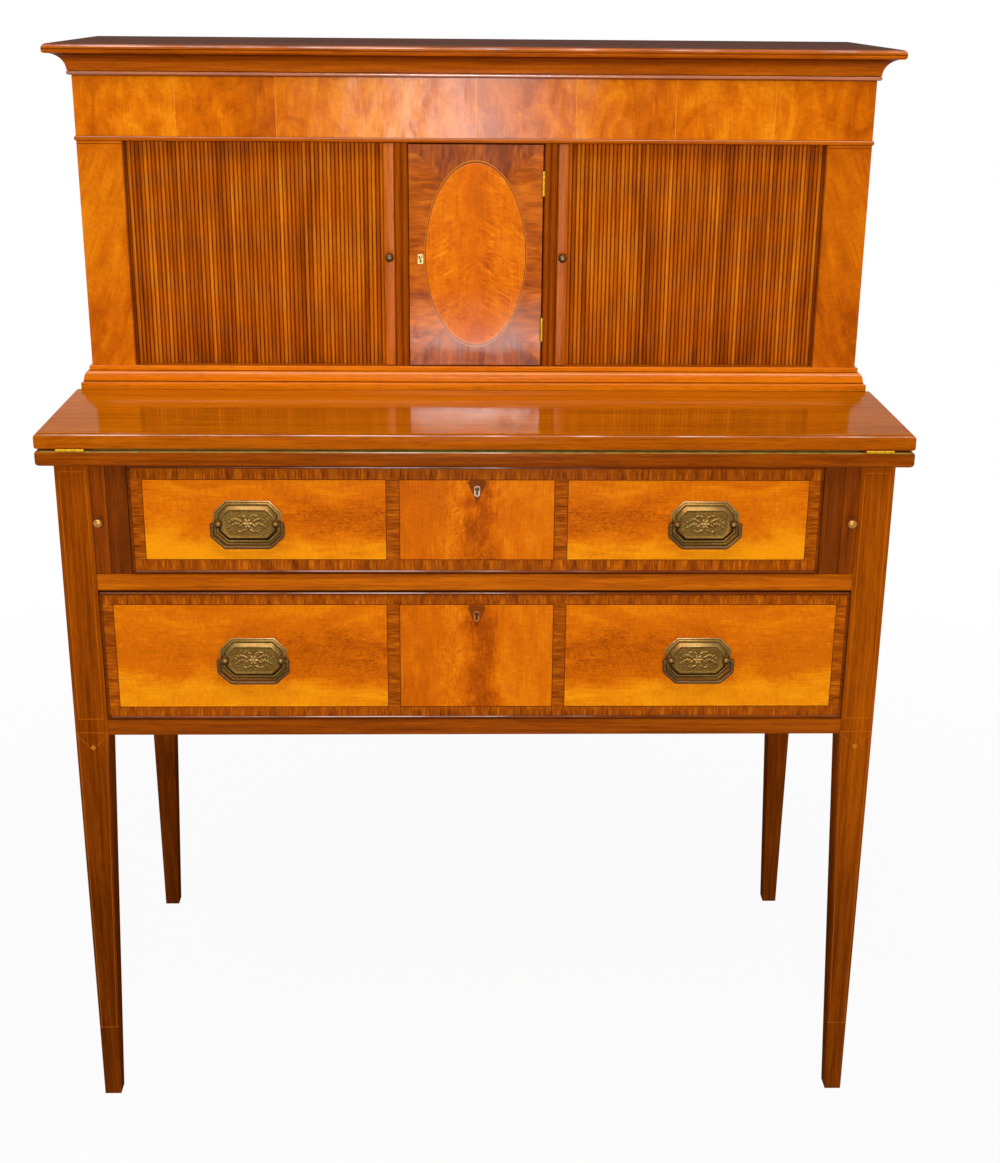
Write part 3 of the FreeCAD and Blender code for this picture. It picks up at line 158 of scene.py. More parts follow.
class Graph:
    """Shader nodes of one finish, added by short calls."""

    def __init__(self, name: str, kind: str = "materials") -> None:
        """Start an empty material or world.

        Args:
            name: its name.
            kind: list of Blender's data that it goes into, materials or worlds.
        """
        self.owner = getattr(bpy.data, kind).new(name)
        self.owner.use_nodes = True
        self.tree = self.owner.node_tree
        self.tree.nodes.clear()
        self._axes: tuple[Socket, ...] = ()

    def node(self, kind: str, **settings: object) -> bpy.types.Node:
        """Add a node.

        Args:
            kind: Blender's word for the node.
            settings: its options.

        Returns:
            The node.
        """
        made = self.tree.nodes.new(kind)
        for key, value in settings.items():
            setattr(made, key, value)
        return made

    def feed(self, socket: Socket, value: object) -> None:
        """Link a socket to another one, or set its own value.

        Args:
            socket: socket that takes the value.
            value: another node's socket, or a plain number or colour.
        """
        if isinstance(value, Socket):
            self.tree.links.new(value, socket)
        else:
            socket.default_value = value

    def call(self, kind: str, values: Iterable[object], **settings: object) -> bpy.types.Node:
        """Add a node and feed its inputs in their order.

        Args:
            kind: Blender's word for the node.
            values: what its first inputs take.
            settings: its options.

        Returns:
            The node.
        """
        made = self.node(kind, **settings)
        for socket, value in zip(made.inputs, values):
            self.feed(socket, value)
        return made

    def named(self, kind: str, **values: object) -> bpy.types.Node:
        """Add a node and feed its inputs by name.

        Args:
            kind: Blender's word for the node.
            values: what the inputs take, with _ for a space in a name.

        Returns:
            The node.
        """
        made = self.node(kind)
        for name, value in values.items():
            self.feed(made.inputs[name.replace("_", " ")], value)
        return made

    def place(self) -> Socket:
        """Coordinates of the piece itself, in metres."""
        return self.node("ShaderNodeTexCoord").outputs["Object"]

    def axes(self) -> tuple[Socket, ...]:
        """The three coordinates of the piece, one by one."""
        self._axes = self._axes or self.split(self.place())
        return self._axes

    def split(self, vector: Socket) -> tuple[Socket, ...]:
        """Take a vector apart."""
        return tuple(self.call("ShaderNodeSeparateXYZ", (vector,)).outputs)

    def up(self) -> Socket:
        """How far the surface looks up: 1 on a level top, 0 on an upright face and -1 below."""
        return self.split(self.node("ShaderNodeNewGeometry").outputs["Normal"])[2]

    def laid(self) -> tuple[Socket, ...]:
        """The two coordinates of the piece's own UV map."""
        return self.split(self.node("ShaderNodeUVMap", uv_map="laid").outputs[0])[:2]

    def vector(self, x: Number, y: Number, z: Number) -> Socket:
        """Join three numbers into a vector."""
        return self.call("ShaderNodeCombineXYZ", (x, y, z)).outputs[0]

    def math(self, operation: str, *values: Number) -> Socket:
        """One step of arithmetic."""
        return self.call("ShaderNodeMath", values, operation=operation).outputs[0]

    def chain(self, operation: str, values: tuple[Number, ...]) -> Number:
        """Work through numbers from the first to the last with one operation."""
        return reduce(lambda total, value: self.math(operation, total, value), values)

    def add(self, *values: Number) -> Number:
        """Sum of the numbers."""
        return self.chain("ADD", values)

    def times(self, *values: Number) -> Number:
        """Product of the numbers."""
        return self.chain("MULTIPLY", values)

    def most(self, *values: Number) -> Number:
        """Largest of the numbers."""
        return self.chain("MAXIMUM", values)

    def least(self, *values: Number) -> Number:
        """Smallest of the numbers."""
        return self.chain("MINIMUM", values)

    def minus(self, first: Number, second: Number) -> Socket:
        """The first number less the second."""
        return self.math("SUBTRACT", first, second)

    def over(self, value: Number, whole: float) -> Socket:
        """A number as a share of a whole."""
        return self.math("DIVIDE", value, whole)

    def rest(self, share: Number) -> Socket:
        """What a share leaves of 1."""
        return self.minus(1.0, share)

    def line(self, value: Number, gain: float, start: Number) -> Socket:
        """A number times a gain, plus a start."""
        return self.math("MULTIPLY_ADD", value, gain, start)

    def size(self, value: Number) -> Socket:
        """A number without its sign."""
        return self.math("ABSOLUTE", value)

    def under(self, value: Number, limit: Number) -> Socket:
        """1 below a limit and 0 above it."""
        return self.math("LESS_THAN", value, limit)

    def above(self, value: Number, limit: Number) -> Socket:
        """1 above a limit and 0 below it."""
        return self.math("GREATER_THAN", value, limit)

    def within(self, value: Number, low: float, high: float) -> Socket:
        """1 between two limits and 0 outside them."""
        return self.math("COMPARE", value, (low + high) / 2, (high - low) / 2)

    def ease(self, value: Number, low: float, high: float, start: float = 0.0,
             end: float = 1.0) -> Socket:
        """Go smoothly from start at low to end at high."""
        numbers = (value, low, high, start, end)
        return self.call("ShaderNodeMapRange", numbers, interpolation_type="SMOOTHSTEP").outputs[0]

    def spread(self, noise: Socket, start: float, end: float) -> Socket:
        """Go from start to end over the middle of a noise, where most of it lies."""
        return self.ease(noise, 0.3, 0.7, start, end)

    def bell(self, value: Number, middle: float, width: float) -> Socket:
        """1 at the middle, falling smoothly to 0 at that width to either side."""
        return self.ease(self.size(self.minus(value, middle)), 0, width, 1, 0)

    def swing(self, noise: Socket, amount: float) -> Socket:
        """Distance of a noise from its middle, times an amount."""
        return self.line(noise, amount, -0.5 * amount)

    def noise(self, spot: Socket | tuple[Number, ...], scale: float, detail: float = 2,
              bend: float = 0) -> Socket:
        """Soft noise about 0.5.

        Args:
            spot: where it is read: a vector, or its three numbers.
            scale: blotches to the metre.
            detail: finer layers.
            bend: how far the noise bends itself.

        Returns:
            The noise.
        """
        vector = self.vector(*spot) if isinstance(spot, tuple) else spot
        made = self.named("ShaderNodeTexNoise", Vector=vector, Scale=scale, Detail=detail, Distortion=bend)
        return made.outputs[0]

    def lot(self, number: Socket) -> Socket:
        """Draw a value between 0 and 1 anew for each number.

        Args:
            number: a whole number.

        Returns:
            The value.
        """
        made = self.node("ShaderNodeTexWhiteNoise", noise_dimensions="1D")
        self.feed(made.inputs["W"], number)
        return made.outputs["Value"]

    def ramp(self, value: Number, shades: list[tuple[float, RGB]]) -> Socket:
        """Run a colour through shades.

        Args:
            value: place on the ramp, 0 to 1.
            shades: places and shades in rising order.

        Returns:
            The colour.
        """
        made = self.call("ShaderNodeValToRGB", (value,))
        stops = made.color_ramp.elements
        while len(stops) < len(shades):
            stops.new(1.0)
        for stop, (spot, shade) in zip(stops, shades):
            stop.position, stop.color = spot, ink(shade)
        return made.outputs[0]

    def blend(self, share: Number, first: object, second: object, kind: str = "MIX") -> Socket:
        """Mix two colours.

        Args:
            share: 0 for the first and 1 for the second.
            first: socket or shade.
            second: socket or shade.
            kind: Blender's word for the way of mixing.

        Returns:
            The colour.
        """
        made = self.node("ShaderNodeMix", data_type="RGBA", blend_type=kind)
        self.feed(made.inputs[0], share)
        for socket, value in zip(made.inputs[6:8], (first, second)):
            self.feed(socket, ink(value) if isinstance(value, tuple) else value)
        return made.outputs[2]

    def paint(self, colour: Socket, shade: object, *shares: Number) -> Socket:
        """Lay a shade over a colour by the product of some shares."""
        return self.blend(self.times(*shares), colour, shade)

    def darken(self, colour: Socket, *shares: Number) -> Socket:
        """Take a colour towards black by the product of some shares."""
        return self.paint(colour, (0, 0, 0), *shares)

    def bump(self, height: Socket, strength: float = 0.1, depth: float = 0.0002) -> Socket:
        """Turn a height into a surface direction; the plain depth is that of pores."""
        return self.named("ShaderNodeBump", Height=height, Strength=strength, Distance=depth).outputs[0]

    def close(self, colour: object, rough: Number, normal: Socket, **levels: Number) -> Material:
        """End with the surface shader.

        Args:
            colour: its colour.
            rough: roughness.
            normal: surface direction from a bump.
            levels: numbers for other sockets, with _ for a space in the name.

        Returns:
            The finished material.
        """
        values = {"Base_Color": colour, "Roughness": rough, "Normal": normal,
                  "Specular_IOR_Level": PLAIN_LEVEL, **levels}
        shader = self.named("ShaderNodeBsdfPrincipled", **values)
        self.call("ShaderNodeOutputMaterial", shader.outputs)
        return self.owner


@dataclass(frozen=True)
class Tones:
    """Three shades of a wood or cloth, from its darkest streaks to its lightest."""

    dark: RGB
    middle: RGB
    light: RGB

    def stops(self) -> list[tuple[float, RGB]]:
        """The shades along a ramp."""
        return [(0.0, self.dark), (0.5, self.middle), (1.0, self.light)]


@dataclass(frozen=True)
class Polish:
    """How a surface shines: its roughness and its specular level."""

    rough: float = 0.3
    level: float = 0.02

    def close(self, g: Graph, colour: Socket, height: Socket) -> Material:
        """End a finish with this shine, rougher in the pores, and a shallow bump."""
        rough = g.spread(height, self.rough + 0.08, self.rough - 0.03)
        return g.close(colour, rough, g.bump(height), Specular_IOR_Level=self.level)


FRENCH = Polish()
SHINE = Polish(0.2, 0.08)
WORN = Polish(0.4, 0.0)
DULL = Polish(0.6, 0.0)
SATIN = Polish(0.36, 0.006)

RAIL_TONES = Tones((146, 66, 3), (184, 90, 5), (210, 108, 8))
DARK_TONES = Tones((112, 46, 3), (146, 66, 4), (174, 84, 6))
POST_TONES = Tones((122, 52, 3), (154, 71, 5), (180, 88, 7))
LEG_TONES = Tones((84, 33, 3), (111, 48, 4), (140, 65, 6))
LOPER_TONES = Tones((106, 44, 3), (134, 58, 5), (158, 72, 7))
# Painted shade: darker mahogany for the loper partitions, for the shadow in their recess.
PAINTED_SHADE_TONES = Tones((84, 34, 3), (108, 46, 5), (128, 58, 6))
LEAF_TONES = Tones((142, 64, 3), (172, 83, 5), (194, 98, 8))
LEAF_TOP_TONES = Tones((184, 92, 3), (214, 115, 5), (232, 131, 8))
COCK_BEAD_TONES = Tones((84, 34, 4), (118, 52, 6), (146, 68, 9))
BAND_TONES = Tones((96, 38, 3), (156, 72, 5), (206, 108, 11))
CORNICE_TONES = Tones((140, 62, 5), (190, 92, 9), (220, 114, 14))
# Painted reflection: the cornice board's top is coloured dark and greyish, as a dark room seen in it at a grazing
# angle.
PAINTED_REFLECTION_TONES = Tones((64, 32, 20), (92, 50, 32), (118, 70, 48))
BEAD_TONES = Tones((136, 60, 5), (190, 92, 7), (216, 116, 12))
BASE_TONES = Tones((200, 97, 6), (234, 124, 9), (249, 145, 15))
REED_TONES = Tones((124, 52, 4), (190, 92, 10), (232, 134, 22))
BIRCH_TONES = Tones((174, 77, 3), (215, 108, 4), (243, 150, 11))
CROTCH_TONES = Tones((160, 68, 3), (210, 102, 3), (238, 140, 14))
FRIEZE_TONES = Tones((174, 77, 3), (215, 109, 5), (243, 144, 17))
STILE_TONES = Tones((166, 73, 3), (207, 104, 5), (238, 140, 13))
OVAL_TONES = Tones((182, 80, 3), (224, 111, 5), (246, 150, 14))
QUARTER_TONES = Tones((124, 52, 3), (180, 86, 6), (220, 118, 14))
PINE_TONES = Tones((184, 122, 58), (212, 156, 84), (228, 180, 108))
STAIN_TONES = Tones((118, 66, 26), (146, 86, 38), (168, 104, 50))
BAIZE_TONES = Tones((100, 106, 26), (120, 123, 36), (140, 140, 48))


def pored(g: Graph, colour: Socket, pore: Socket, depth: float = 0.3) -> Socket:
    """Darken the short pores of a wood by a share."""
    return g.darken(colour, g.ease(pore, 0.34, 0.48, depth, 0.0))


def straight_grain(g: Graph, grain: Grain, tones: Tones) -> tuple[Socket, Socket]:
    """Straight-grained wood.

    Noise is stretched twenty-five times along the fibres: broad bands and narrow streaks added together choose
    the shade, and the finest noise darkens short pores.

    Args:
        g: nodes of the finish.
        grain: the way of the fibres.
        tones: shades.

    Returns:
        Colour and height.
    """
    shares = [1.0, 1.0, 1.0]
    shares[grain.value] = STRETCH
    stretched = g.vector(*(g.times(axis, share) for axis, share in zip(g.axes(), shares)))
    broad = g.noise(stretched, 22, 3, 0.4)
    streak = g.noise(stretched, 300, 4)
    pore = g.noise(stretched, 1600, 2)
    shade = g.add(g.swing(broad, 1.5), g.swing(streak, 1.6), 0.5)
    return pored(g, g.ramp(shade, tones.stops()), pore), pore


def flame(g: Graph, u: Number, v: Number, tones: Tones, lean: Number, seed: float,
          wild: Number) -> tuple[Socket, Socket]:
    """Feathered figure in a plane.

    Clouds bent by slower noise choose the shade together with a given lean; short ripples across the fibres, small
    squiggles and fine fibres along v lighten and darken it a little.

    Args:
        g: nodes of the finish.
        u: coordinate across the fibres.
        v: coordinate along them.
        tones: shades.
        lean: number added to the shade, to place its dark and light parts.
        seed: number that sets this leaf apart from others.
        wild: how strong the squiggles are.

    Returns:
        Colour and height.
    """
    cloud = g.noise((u, g.times(v, 0.45), seed), 26, 6, 1.6)
    squiggle = g.noise((u, g.times(v, 0.5), seed + 3), 190, 5, 2.6)
    ripple = g.noise((g.times(u, 0.5), v, seed), 300, 2, 0.6)
    fibre = g.noise((u, g.times(v, 0.03), seed), 900, 3)
    twist = g.times(g.swing(squiggle, 1.2), wild)
    shade = g.add(g.swing(cloud, 0.8), twist, g.swing(ripple, 0.42), g.swing(fibre, 0.65), lean)
    return g.darken(g.ramp(shade, tones.stops()), g.ease(squiggle, 0.3, 0.42, 0.24, 0.0), wild), fibre


def rubbed(g: Graph) -> Socket:
    """How bright a rubbed edge is along its length: slow noise between a fifth and the whole."""
    return g.ease(g.noise((g.axes()[0], 0.0, 0.4), 11, 4), 0.4, 0.58, 0.2, 1.0)


def cored(g: Graph, colour: Socket, face: float, grain: Grain) -> Socket:
    """Show plain wood behind the veneer of a board whose face lies at that y."""
    return g.paint(colour, straight_grain(g, grain, RAIL_TONES)[0], g.above(g.axes()[1], face + VENEER))


def swapped(g: Graph, first: Socket, second: Socket, share: Socket) -> tuple[Number, Number]:
    """Two coordinates in their order where the share is 0, and changed round where it is 1."""
    kept, pair = g.rest(share), (first, second)
    return tuple(g.add(g.times(a, kept), g.times(b, share)) for a, b in (pair, pair[::-1]))


@dataclass(frozen=True)
class Straight:
    """Finish of a plain board."""

    name: str
    tones: Tones
    grain: Grain
    polish: Polish = FRENCH
    gap_shade: float | None = None

    def material(self) -> Material:
        """Lay straight grain, with a line of painted shade at that height if there is any, for the shadow of the
        gap beside the board.

        Returns:
            The material.
        """
        g = Graph(self.name)
        colour, pore = straight_grain(g, self.grain, self.tones)
        if self.gap_shade is not None:
            # Painted shade: a dark line where the gap beside the rail lies in shadow.
            colour = g.darken(colour, g.bell(g.axes()[2], self.gap_shade, 2.2 * MM), 0.85)
        return self.polish.close(g, colour, pore)


@dataclass(frozen=True)
class Leaf:
    """Finish of the folding leaf: its top is paler and polished like a mirror."""

    top: float
    back: float
    front: float
    slope: float = -0.205  # the mirror's ends draw in by this share of the depth

    def material(self) -> Material:
        """Choose the shades and the shine by height; painted shade darkens the top along the back edge, where the
        moulding meets it, and the front edge is rubbed.

        Returns:
            The material.
        """
        g = Graph("leaf_mahogany")
        x, deep, rise = g.axes()
        upper = g.above(rise, self.top - 0.4 * MM)
        edge, pore = straight_grain(g, Grain.ACROSS, LEAF_TONES)
        face, _ = straight_grain(g, Grain.ACROSS, LEAF_TOP_TONES)
        # Painted shade: the top darkens towards the back edge, where the moulding stands on it.
        face = g.darken(face, g.ease(deep, self.back - 4 * MM, self.back - 1 * MM, 0.0, 0.6))
        rough = g.spread(g.noise(g.place(), 9, 2), 0.07, 0.13)
        inner = g.ease(g.line(deep, self.slope, g.size(x)), 0.4, 0.43, 1.0, 0.0)
        nose = g.times(g.under(deep, self.front + 2.2 * MM), g.bell(rise, self.top - 1.9 * MM, 0.9 * MM))
        gloss = g.add(g.times(upper, inner, 0.3), g.times(nose, rubbed(g), 0.5), 0.003)
        direction = g.bump(pore, 0.02, 0.0001)
        return g.close(g.blend(upper, edge, face), rough, direction, Specular_IOR_Level=gloss, IOR=EDGE_IOR)


@dataclass(frozen=True)
class Arris:
    """Finish of a board whose rounded front edges are rubbed bright."""

    name: str
    tones: Tones
    front: float
    reach: float
    bright: tuple[float, float]
    fray: float | None = None
    glint: float | None = None

    def material(self) -> Material:
        """Shine near the front where the rounded edge looks up, most of all about one place along it.

        A frayed edge of green cloth shows above the height of the fray, and above the height of the glint the face
        of the edge shines too.

        Returns:
            The material.
        """
        g = Graph(self.name)
        x, deep, rise = g.axes()
        colour, pore = straight_grain(g, Grain.ACROSS, self.tones)
        up = g.up()
        near = g.under(deep, self.front + self.reach)
        along = g.bell(x, *self.bright)
        mask = g.times(near, g.bell(up, 0.6, 0.3), rubbed(g), g.line(along, 0.9, 0.1))
        if self.fray is not None:
            edge = g.times(g.under(deep, self.front + 4 * MM), g.above(rise, self.fray))
            worn = g.ease(g.noise((x, 0.0, 0.2), 60, 4), 0.36, 0.6, 0.3, 0.95)
            colour = g.paint(colour, (146, 122, 48), edge, worn)
        if self.glint is not None:
            face = g.times(near, g.bell(up, 0.06, 0.22), g.above(rise, self.glint))
            mask = g.add(mask, g.times(face, along, rubbed(g), 1.3))
        gloss = g.line(mask, 0.75, 0.005)
        return g.close(colour, g.spread(pore, 0.26, 0.16), g.bump(pore), Specular_IOR_Level=gloss, IOR=EDGE_IOR)


@dataclass(frozen=True)
class Mitred:
    """Finish of a moulding whose fibres follow it round the corners."""

    name: str
    tones: Tones
    steps: tuple[float, ...] = ()
    edge: float = 0.9
    bead: tuple[float, ...] = (0.0, 0.0)

    def material(self) -> Material:
        """Read the fibres' way from the piece's UV map: u along the moulding, v round its profile.

        Painted shade darkens the steps of the profile and the faces that look down, and edges that look up and the
        bead are rubbed bright.

        Returns:
            The material.
        """
        g = Graph(self.name)
        u, v = g.laid()
        stretched = g.vector(g.times(u, STRETCH), v, 0.3)
        broad, streak, pore = g.noise(stretched, 60, 3), g.noise(stretched, 320, 4), g.noise(stretched, 1600, 2)
        shade = g.add(g.swing(broad, 1.0), g.swing(streak, 1.2), 0.5)
        colour = pored(g, g.ramp(shade, self.tones.stops()), pore)
        up = g.up()
        # Painted shade: faces that look down are darker.
        colour = g.darken(colour, g.ease(up, -0.98, -0.3, 0.6, 0.0))
        for step in self.steps:
            # Painted shade: a dark line in each step of the profile.
            colour = g.paint(colour, CREASE_SHADE, g.bell(v, step, 1.3 * MM), 0.85)
        shine = g.add(g.ease(up, 0.2, 0.6, 0.02, self.edge), g.within(v, *self.bead))
        return g.close(colour, g.spread(pore, 0.22, 0.11), g.bump(pore), Specular_IOR_Level=shine)


@dataclass(frozen=True)
class CorniceBoard:
    """Finish of the cornice board: a top painted dark and greyish as a painted reflection of a dark room, and a
    line of painted shade halfway up its edge where a groove would be.
    """

    top: float
    groove: float

    def material(self) -> Material:
        """Choose the shades by height; only the rubbed arris shines.

        Returns:
            The material.
        """
        g = Graph("cornice_mahogany")
        rise = g.axes()[2]
        edge, pore = straight_grain(g, Grain.ACROSS, CORNICE_TONES)
        # Painted shade: a dark line halfway up the edge, standing for the shadow in a groove.
        edge = g.paint(edge, CREASE_SHADE, g.bell(rise, self.groove, 1.1 * MM), 0.8)
        # Painted reflection: the top is darker and greyer than the edge.
        reflected_top, _ = straight_grain(g, Grain.ACROSS, PAINTED_REFLECTION_TONES)
        above = g.above(rise, self.top - 0.2 * MM)
        gloss = g.line(g.times(g.bell(g.up(), 0.62, 0.3), rubbed(g)), 0.8, 0.003)
        rough = g.line(above, 0.4, g.spread(pore, 0.28, 0.18))
        return g.close(g.blend(above, edge, reflected_top), rough, g.bump(pore), Specular_IOR_Level=gloss, IOR=EDGE_IOR)


@dataclass(frozen=True)
class Reeded:
    """Finish of the tambour reeds: every reed has its own shade and streaks, and painted shade lies in the grooves
    between them.
    """

    name: str
    pitch: float

    def material(self) -> Material:
        """Count the reeds along u of the UV map and draw a shade for each.

        Returns:
            The material.
        """
        g = Graph(self.name)
        u, v = g.laid()
        reeds = g.over(u, self.pitch)
        own = g.lot(g.math("FLOOR", reeds))
        aside = g.size(g.line(g.math("FRACT", reeds), 2.0, -1.0))
        streak = g.noise((u, g.times(v, 0.02), g.times(own, 9.0)), 500, 4)
        slow = g.noise((u, g.times(v, 0.3), 0.7), 30, 3)
        pore = g.noise((u, g.times(v, 0.05), g.times(own, 5.0)), 2400, 2)
        shade = g.add(g.swing(own, 0.45), g.swing(streak, 1.2), g.swing(slow, 0.9), 0.53)
        colour = pored(g, g.ramp(shade, REED_TONES.stops()), pore, 0.25)
        # Painted shade: the grooves between the reeds are darker.
        return FRENCH.close(g, g.paint(colour, (70, 28, 3), g.ease(aside, 0.55, 0.98, 0.0, 0.75)), pore)


@dataclass(frozen=True)
class Brass:
    """Finish of cast and turned brass, mottled between a dull and a clean tone."""

    name: str
    clean: RGB
    dull: RGB
    rough: float = 0.34

    def material(self) -> Material:
        """Mottle the metal by two scales of noise.

        Returns:
            The material.
        """
        g = Graph(self.name)
        spots, specks = g.noise(g.place(), 420, 4), g.noise(g.place(), 1500, 3)
        share = g.add(g.swing(spots, 1.1), g.swing(specks, 0.8), 0.5)
        colour = g.ramp(share, [(0.1, self.dull), (0.9, self.clean)])
        rough = g.spread(specks, self.rough + 0.1, self.rough - 0.06)
        return g.close(colour, rough, g.bump(specks, 0.12, 0.0001), Metallic=METAL)


@dataclass(frozen=True)
class Relief:
    """Finish of the stamped plates: the UV map's first number tells hollows, 0, from rubbed heights, 1."""

    # The ends of the ramp serve the hollows and the rubbed heights, and also painted shade and painted light by
    # which way a face looks.
    hollow: RGB = (46, 34, 14)
    ground: RGB = (120, 92, 40)
    raised: RGB = (156, 124, 72)
    rubbed: RGB = (216, 188, 144)
    copper: RGB = (255, 200, 190)

    def material(self) -> Material:
        """Dark dirt in the hollows, painted shade on faces that look down and painted light on faces that look up,
        warm metal where fingers rub, and copper patches.

        Returns:
            The material.
        """
        g = Graph("plate_brass")
        specks = g.noise(g.place(), 700, 5)
        # Painted light and shade: faces that look up are lighter, faces that look down darker.
        share = g.add(g.laid()[0], g.times(g.up(), 0.5), g.swing(specks, 0.7))
        shades = [(0.0, self.hollow), (0.4, self.ground), (0.75, self.raised), (1.0, self.rubbed)]
        colour = g.ramp(share, shades)
        patch = g.ease(g.noise(g.place(), 110, 3), 0.42, 0.62, 0.0, 0.4)
        colour = g.paint(colour, g.blend(1.0, colour, self.copper, "MULTIPLY"), patch)
        rough = g.ease(share, 0.2, 0.9, 0.42, 0.28)
        return g.close(colour, rough, g.bump(specks, 0.12, 0.0001), Metallic=METAL)


@dataclass(frozen=True)
class Cloth:
    """Finish of the baize: short fibres over a tight weave."""

    name: str
    thread: float = 5200.0

    def material(self) -> Material:
        """Felted noise and a fine cross weave on the sheet's own UV map.

        Returns:
            The material.
        """
        g = Graph(self.name)
        u, v = g.laid()
        nap, patch = g.noise((u, v, 0.1), 1400, 3), g.noise((u, v, 0.6), 45, 4)
        weave = g.times(*(g.math("SINE", g.times(way, self.thread)) for way in (u, v)))
        height = g.add(g.times(nap, 0.8), g.times(weave, 0.2))
        shade = g.ease(g.add(g.times(patch, 0.6), g.times(nap, 0.4)), 0.35, 0.65)
        colour, rough = g.ramp(shade, BAIZE_TONES.stops()), g.spread(nap, 0.98, 0.84)
        return g.close(colour, rough, g.bump(height, 0.5, 0.0004), Specular_IOR_Level=0.05, Sheen_Weight=0.3)


@dataclass(frozen=True)
class DrawerVeneer:
    """Finish of a drawer front: three birch panels in a mahogany crossbanding, with dark strings between."""

    tier: Tier
    half: float
    low: float
    high: float
    centre: float
    side: float
    key: float
    figure: float
    wander: float
    kite_half: float = 6.8 * MM
    kite_slope: float = 0.44
    kite_cut: float = 17 * MM
    kite_low: float = -15 * MM
    kite_high: float = 10 * MM

    def stroke(self, g: Graph, value: Socket, spot: float) -> Socket:
        """1 on a string that lies at a spot."""
        return g.within(value, spot - STRING / 2, spot + STRING / 2)

    def string(self, g: Graph, flat: Socket, up: Socket) -> Socket:
        """Find the narrow dark lines round the three panels.

        Args:
            g: nodes of the finish.
            flat: distance from the middle of the drawer.
            up: height.

        Returns:
            1 on the lines and 0 elsewhere.
        """
        rows = g.most(*(self.stroke(g, up, level) for level in (self.low, self.high)))
        across = g.within(flat, 0.0, self.half + STRING)
        off_band = g.rest(g.within(flat, self.centre + STRING, self.side - STRING))
        columns = g.most(*(self.stroke(g, flat, edge) for edge in (self.half, self.centre, self.side)))
        tall = g.within(up, self.low - STRING, self.high + STRING)
        return g.most(g.times(rows, across, off_band), g.times(columns, tall))

    def crossband(self, g: Graph) -> tuple[Socket, Socket]:
        """Lay short fibres square to the band: upright in the long bands, level in the short ones.

        Args:
            g: nodes of the finish.

        Returns:
            Colour and height.
        """
        x, _, up = g.axes()
        along, over = swapped(g, x, up, g.within(up, self.low, self.high))
        stripe = g.noise((along, g.times(over, 0.1), 0.4), 620, 4)
        broad = g.noise((along, g.times(over, 0.2), 0.9), 110, 3)
        shade = g.add(g.swing(stripe, 1.7), g.swing(broad, 1.3), 0.5)
        return g.ramp(shade, BAND_TONES.stops()), stripe

    def side_lean(self, g: Graph, flat: Socket, up: Socket) -> tuple[Socket, Socket]:
        """Lighten the bottom and the outer end, with a dark feather at mid height towards the middle.

        Args:
            g: nodes of the finish.
            flat: distance from the middle of the drawer.
            up: height.

        Returns:
            Lean of the shade and strength of the squiggles.
        """
        out = g.over(g.minus(flat, self.side), self.half - self.side)
        rise = g.over(g.minus(up, self.low), self.high - self.low)
        wander = g.noise((flat, up, self.wander), 14, 5, 1.0)
        wisp = g.noise((g.times(flat, 0.3), up, 1.9), 90, 4, 1.4)
        level = g.add(rise, g.times(out, -0.16), g.swing(wander, 0.5), g.swing(wisp, 0.3))
        feather = g.times(g.bell(level, 0.5, 0.36), g.ease(out, 0.0, 0.9, 1.0, 0.3))
        bright = g.ease(level, 0.0, 0.3, 0.32, -0.04)
        return g.add(bright, g.times(feather, -0.34), 0.54), g.line(feather, 0.9, 0.22)

    def centre_lean(self, g: Graph, x: Socket, up: Socket) -> tuple[Socket, Socket]:
        """Set a dark upright feather right of the middle between two plain sides, the right one lighter.

        Args:
            g: nodes of the finish.
            x: place across the drawer.
            up: height.

        Returns:
            Lean of the shade and strength of the squiggles.
        """
        wander = g.noise((x, up, 7.7), 24, 5, 1.2)
        wisp = g.noise((x, g.times(up, 0.25), 2.6), 160, 4, 1.0)
        spread = g.add(x, g.swing(wander, 0.05), g.swing(wisp, 0.02))
        feather, halo = g.bell(spread, 0.004, 0.026), g.bell(spread, -0.026, 0.026)
        right = g.ease(spread, 0.006, 0.03, 0.0, 0.16)
        lean = g.add(right, g.times(feather, -0.34), g.times(halo, 0.16), 0.42)
        return lean, g.line(g.most(feather, halo), 0.8, 0.1)

    def kite(self, g: Graph, flat: Socket, up: Socket) -> Socket:
        """Find the shield-shaped inlay at the keyhole, whose sides run from the wide top to a point below.

        Args:
            g: nodes of the finish.
            flat: distance from the middle of the drawer.
            up: height.

        Returns:
            1 inside the inlay and 0 outside it.
        """
        rise = g.minus(up, self.key)
        side = g.line(rise, self.kite_slope, self.kite_half)
        slant = g.under(flat, g.least(side, g.minus(self.kite_cut, rise)))
        return g.times(slant, g.within(rise, self.kite_low, self.kite_high))

    def material(self) -> Material:
        """Lay the panels, the bands, the strings and the inlay by x and z.

        Returns:
            The material.
        """
        g = Graph(f"{self.tier.value}_drawer_veneer")
        x, _, up = g.axes()
        flat = g.size(x)
        tall = g.within(up, self.low, self.high)
        colour, height = self.crossband(g)
        lean, wild = self.side_lean(g, flat, up)
        birch, fibre = flame(g, up, flat, BIRCH_TONES, lean, self.figure, wild)
        colour = g.paint(colour, birch, tall, g.within(flat, self.side, self.half))
        lean, wild = self.centre_lean(g, x, up)
        crotch, _ = flame(g, x, up, CROTCH_TONES, lean, self.figure + 1, wild)
        colour = g.paint(colour, crotch, tall, g.within(flat, -1.0, self.centre))
        colour = g.paint(colour, (98, 44, 4), self.string(g, flat, up))
        inlay = g.noise((x, g.times(up, 0.1), 0.2), 500, 2)
        dark = g.ramp(inlay, [(0.3, (104, 46, 6)), (0.7, (142, 66, 10))])
        colour = g.paint(colour, dark, self.kite(g, flat, up))
        return FRENCH.close(g, cored(g, colour, DRAWER_FACE, Grain.ACROSS), g.add(height, fibre))


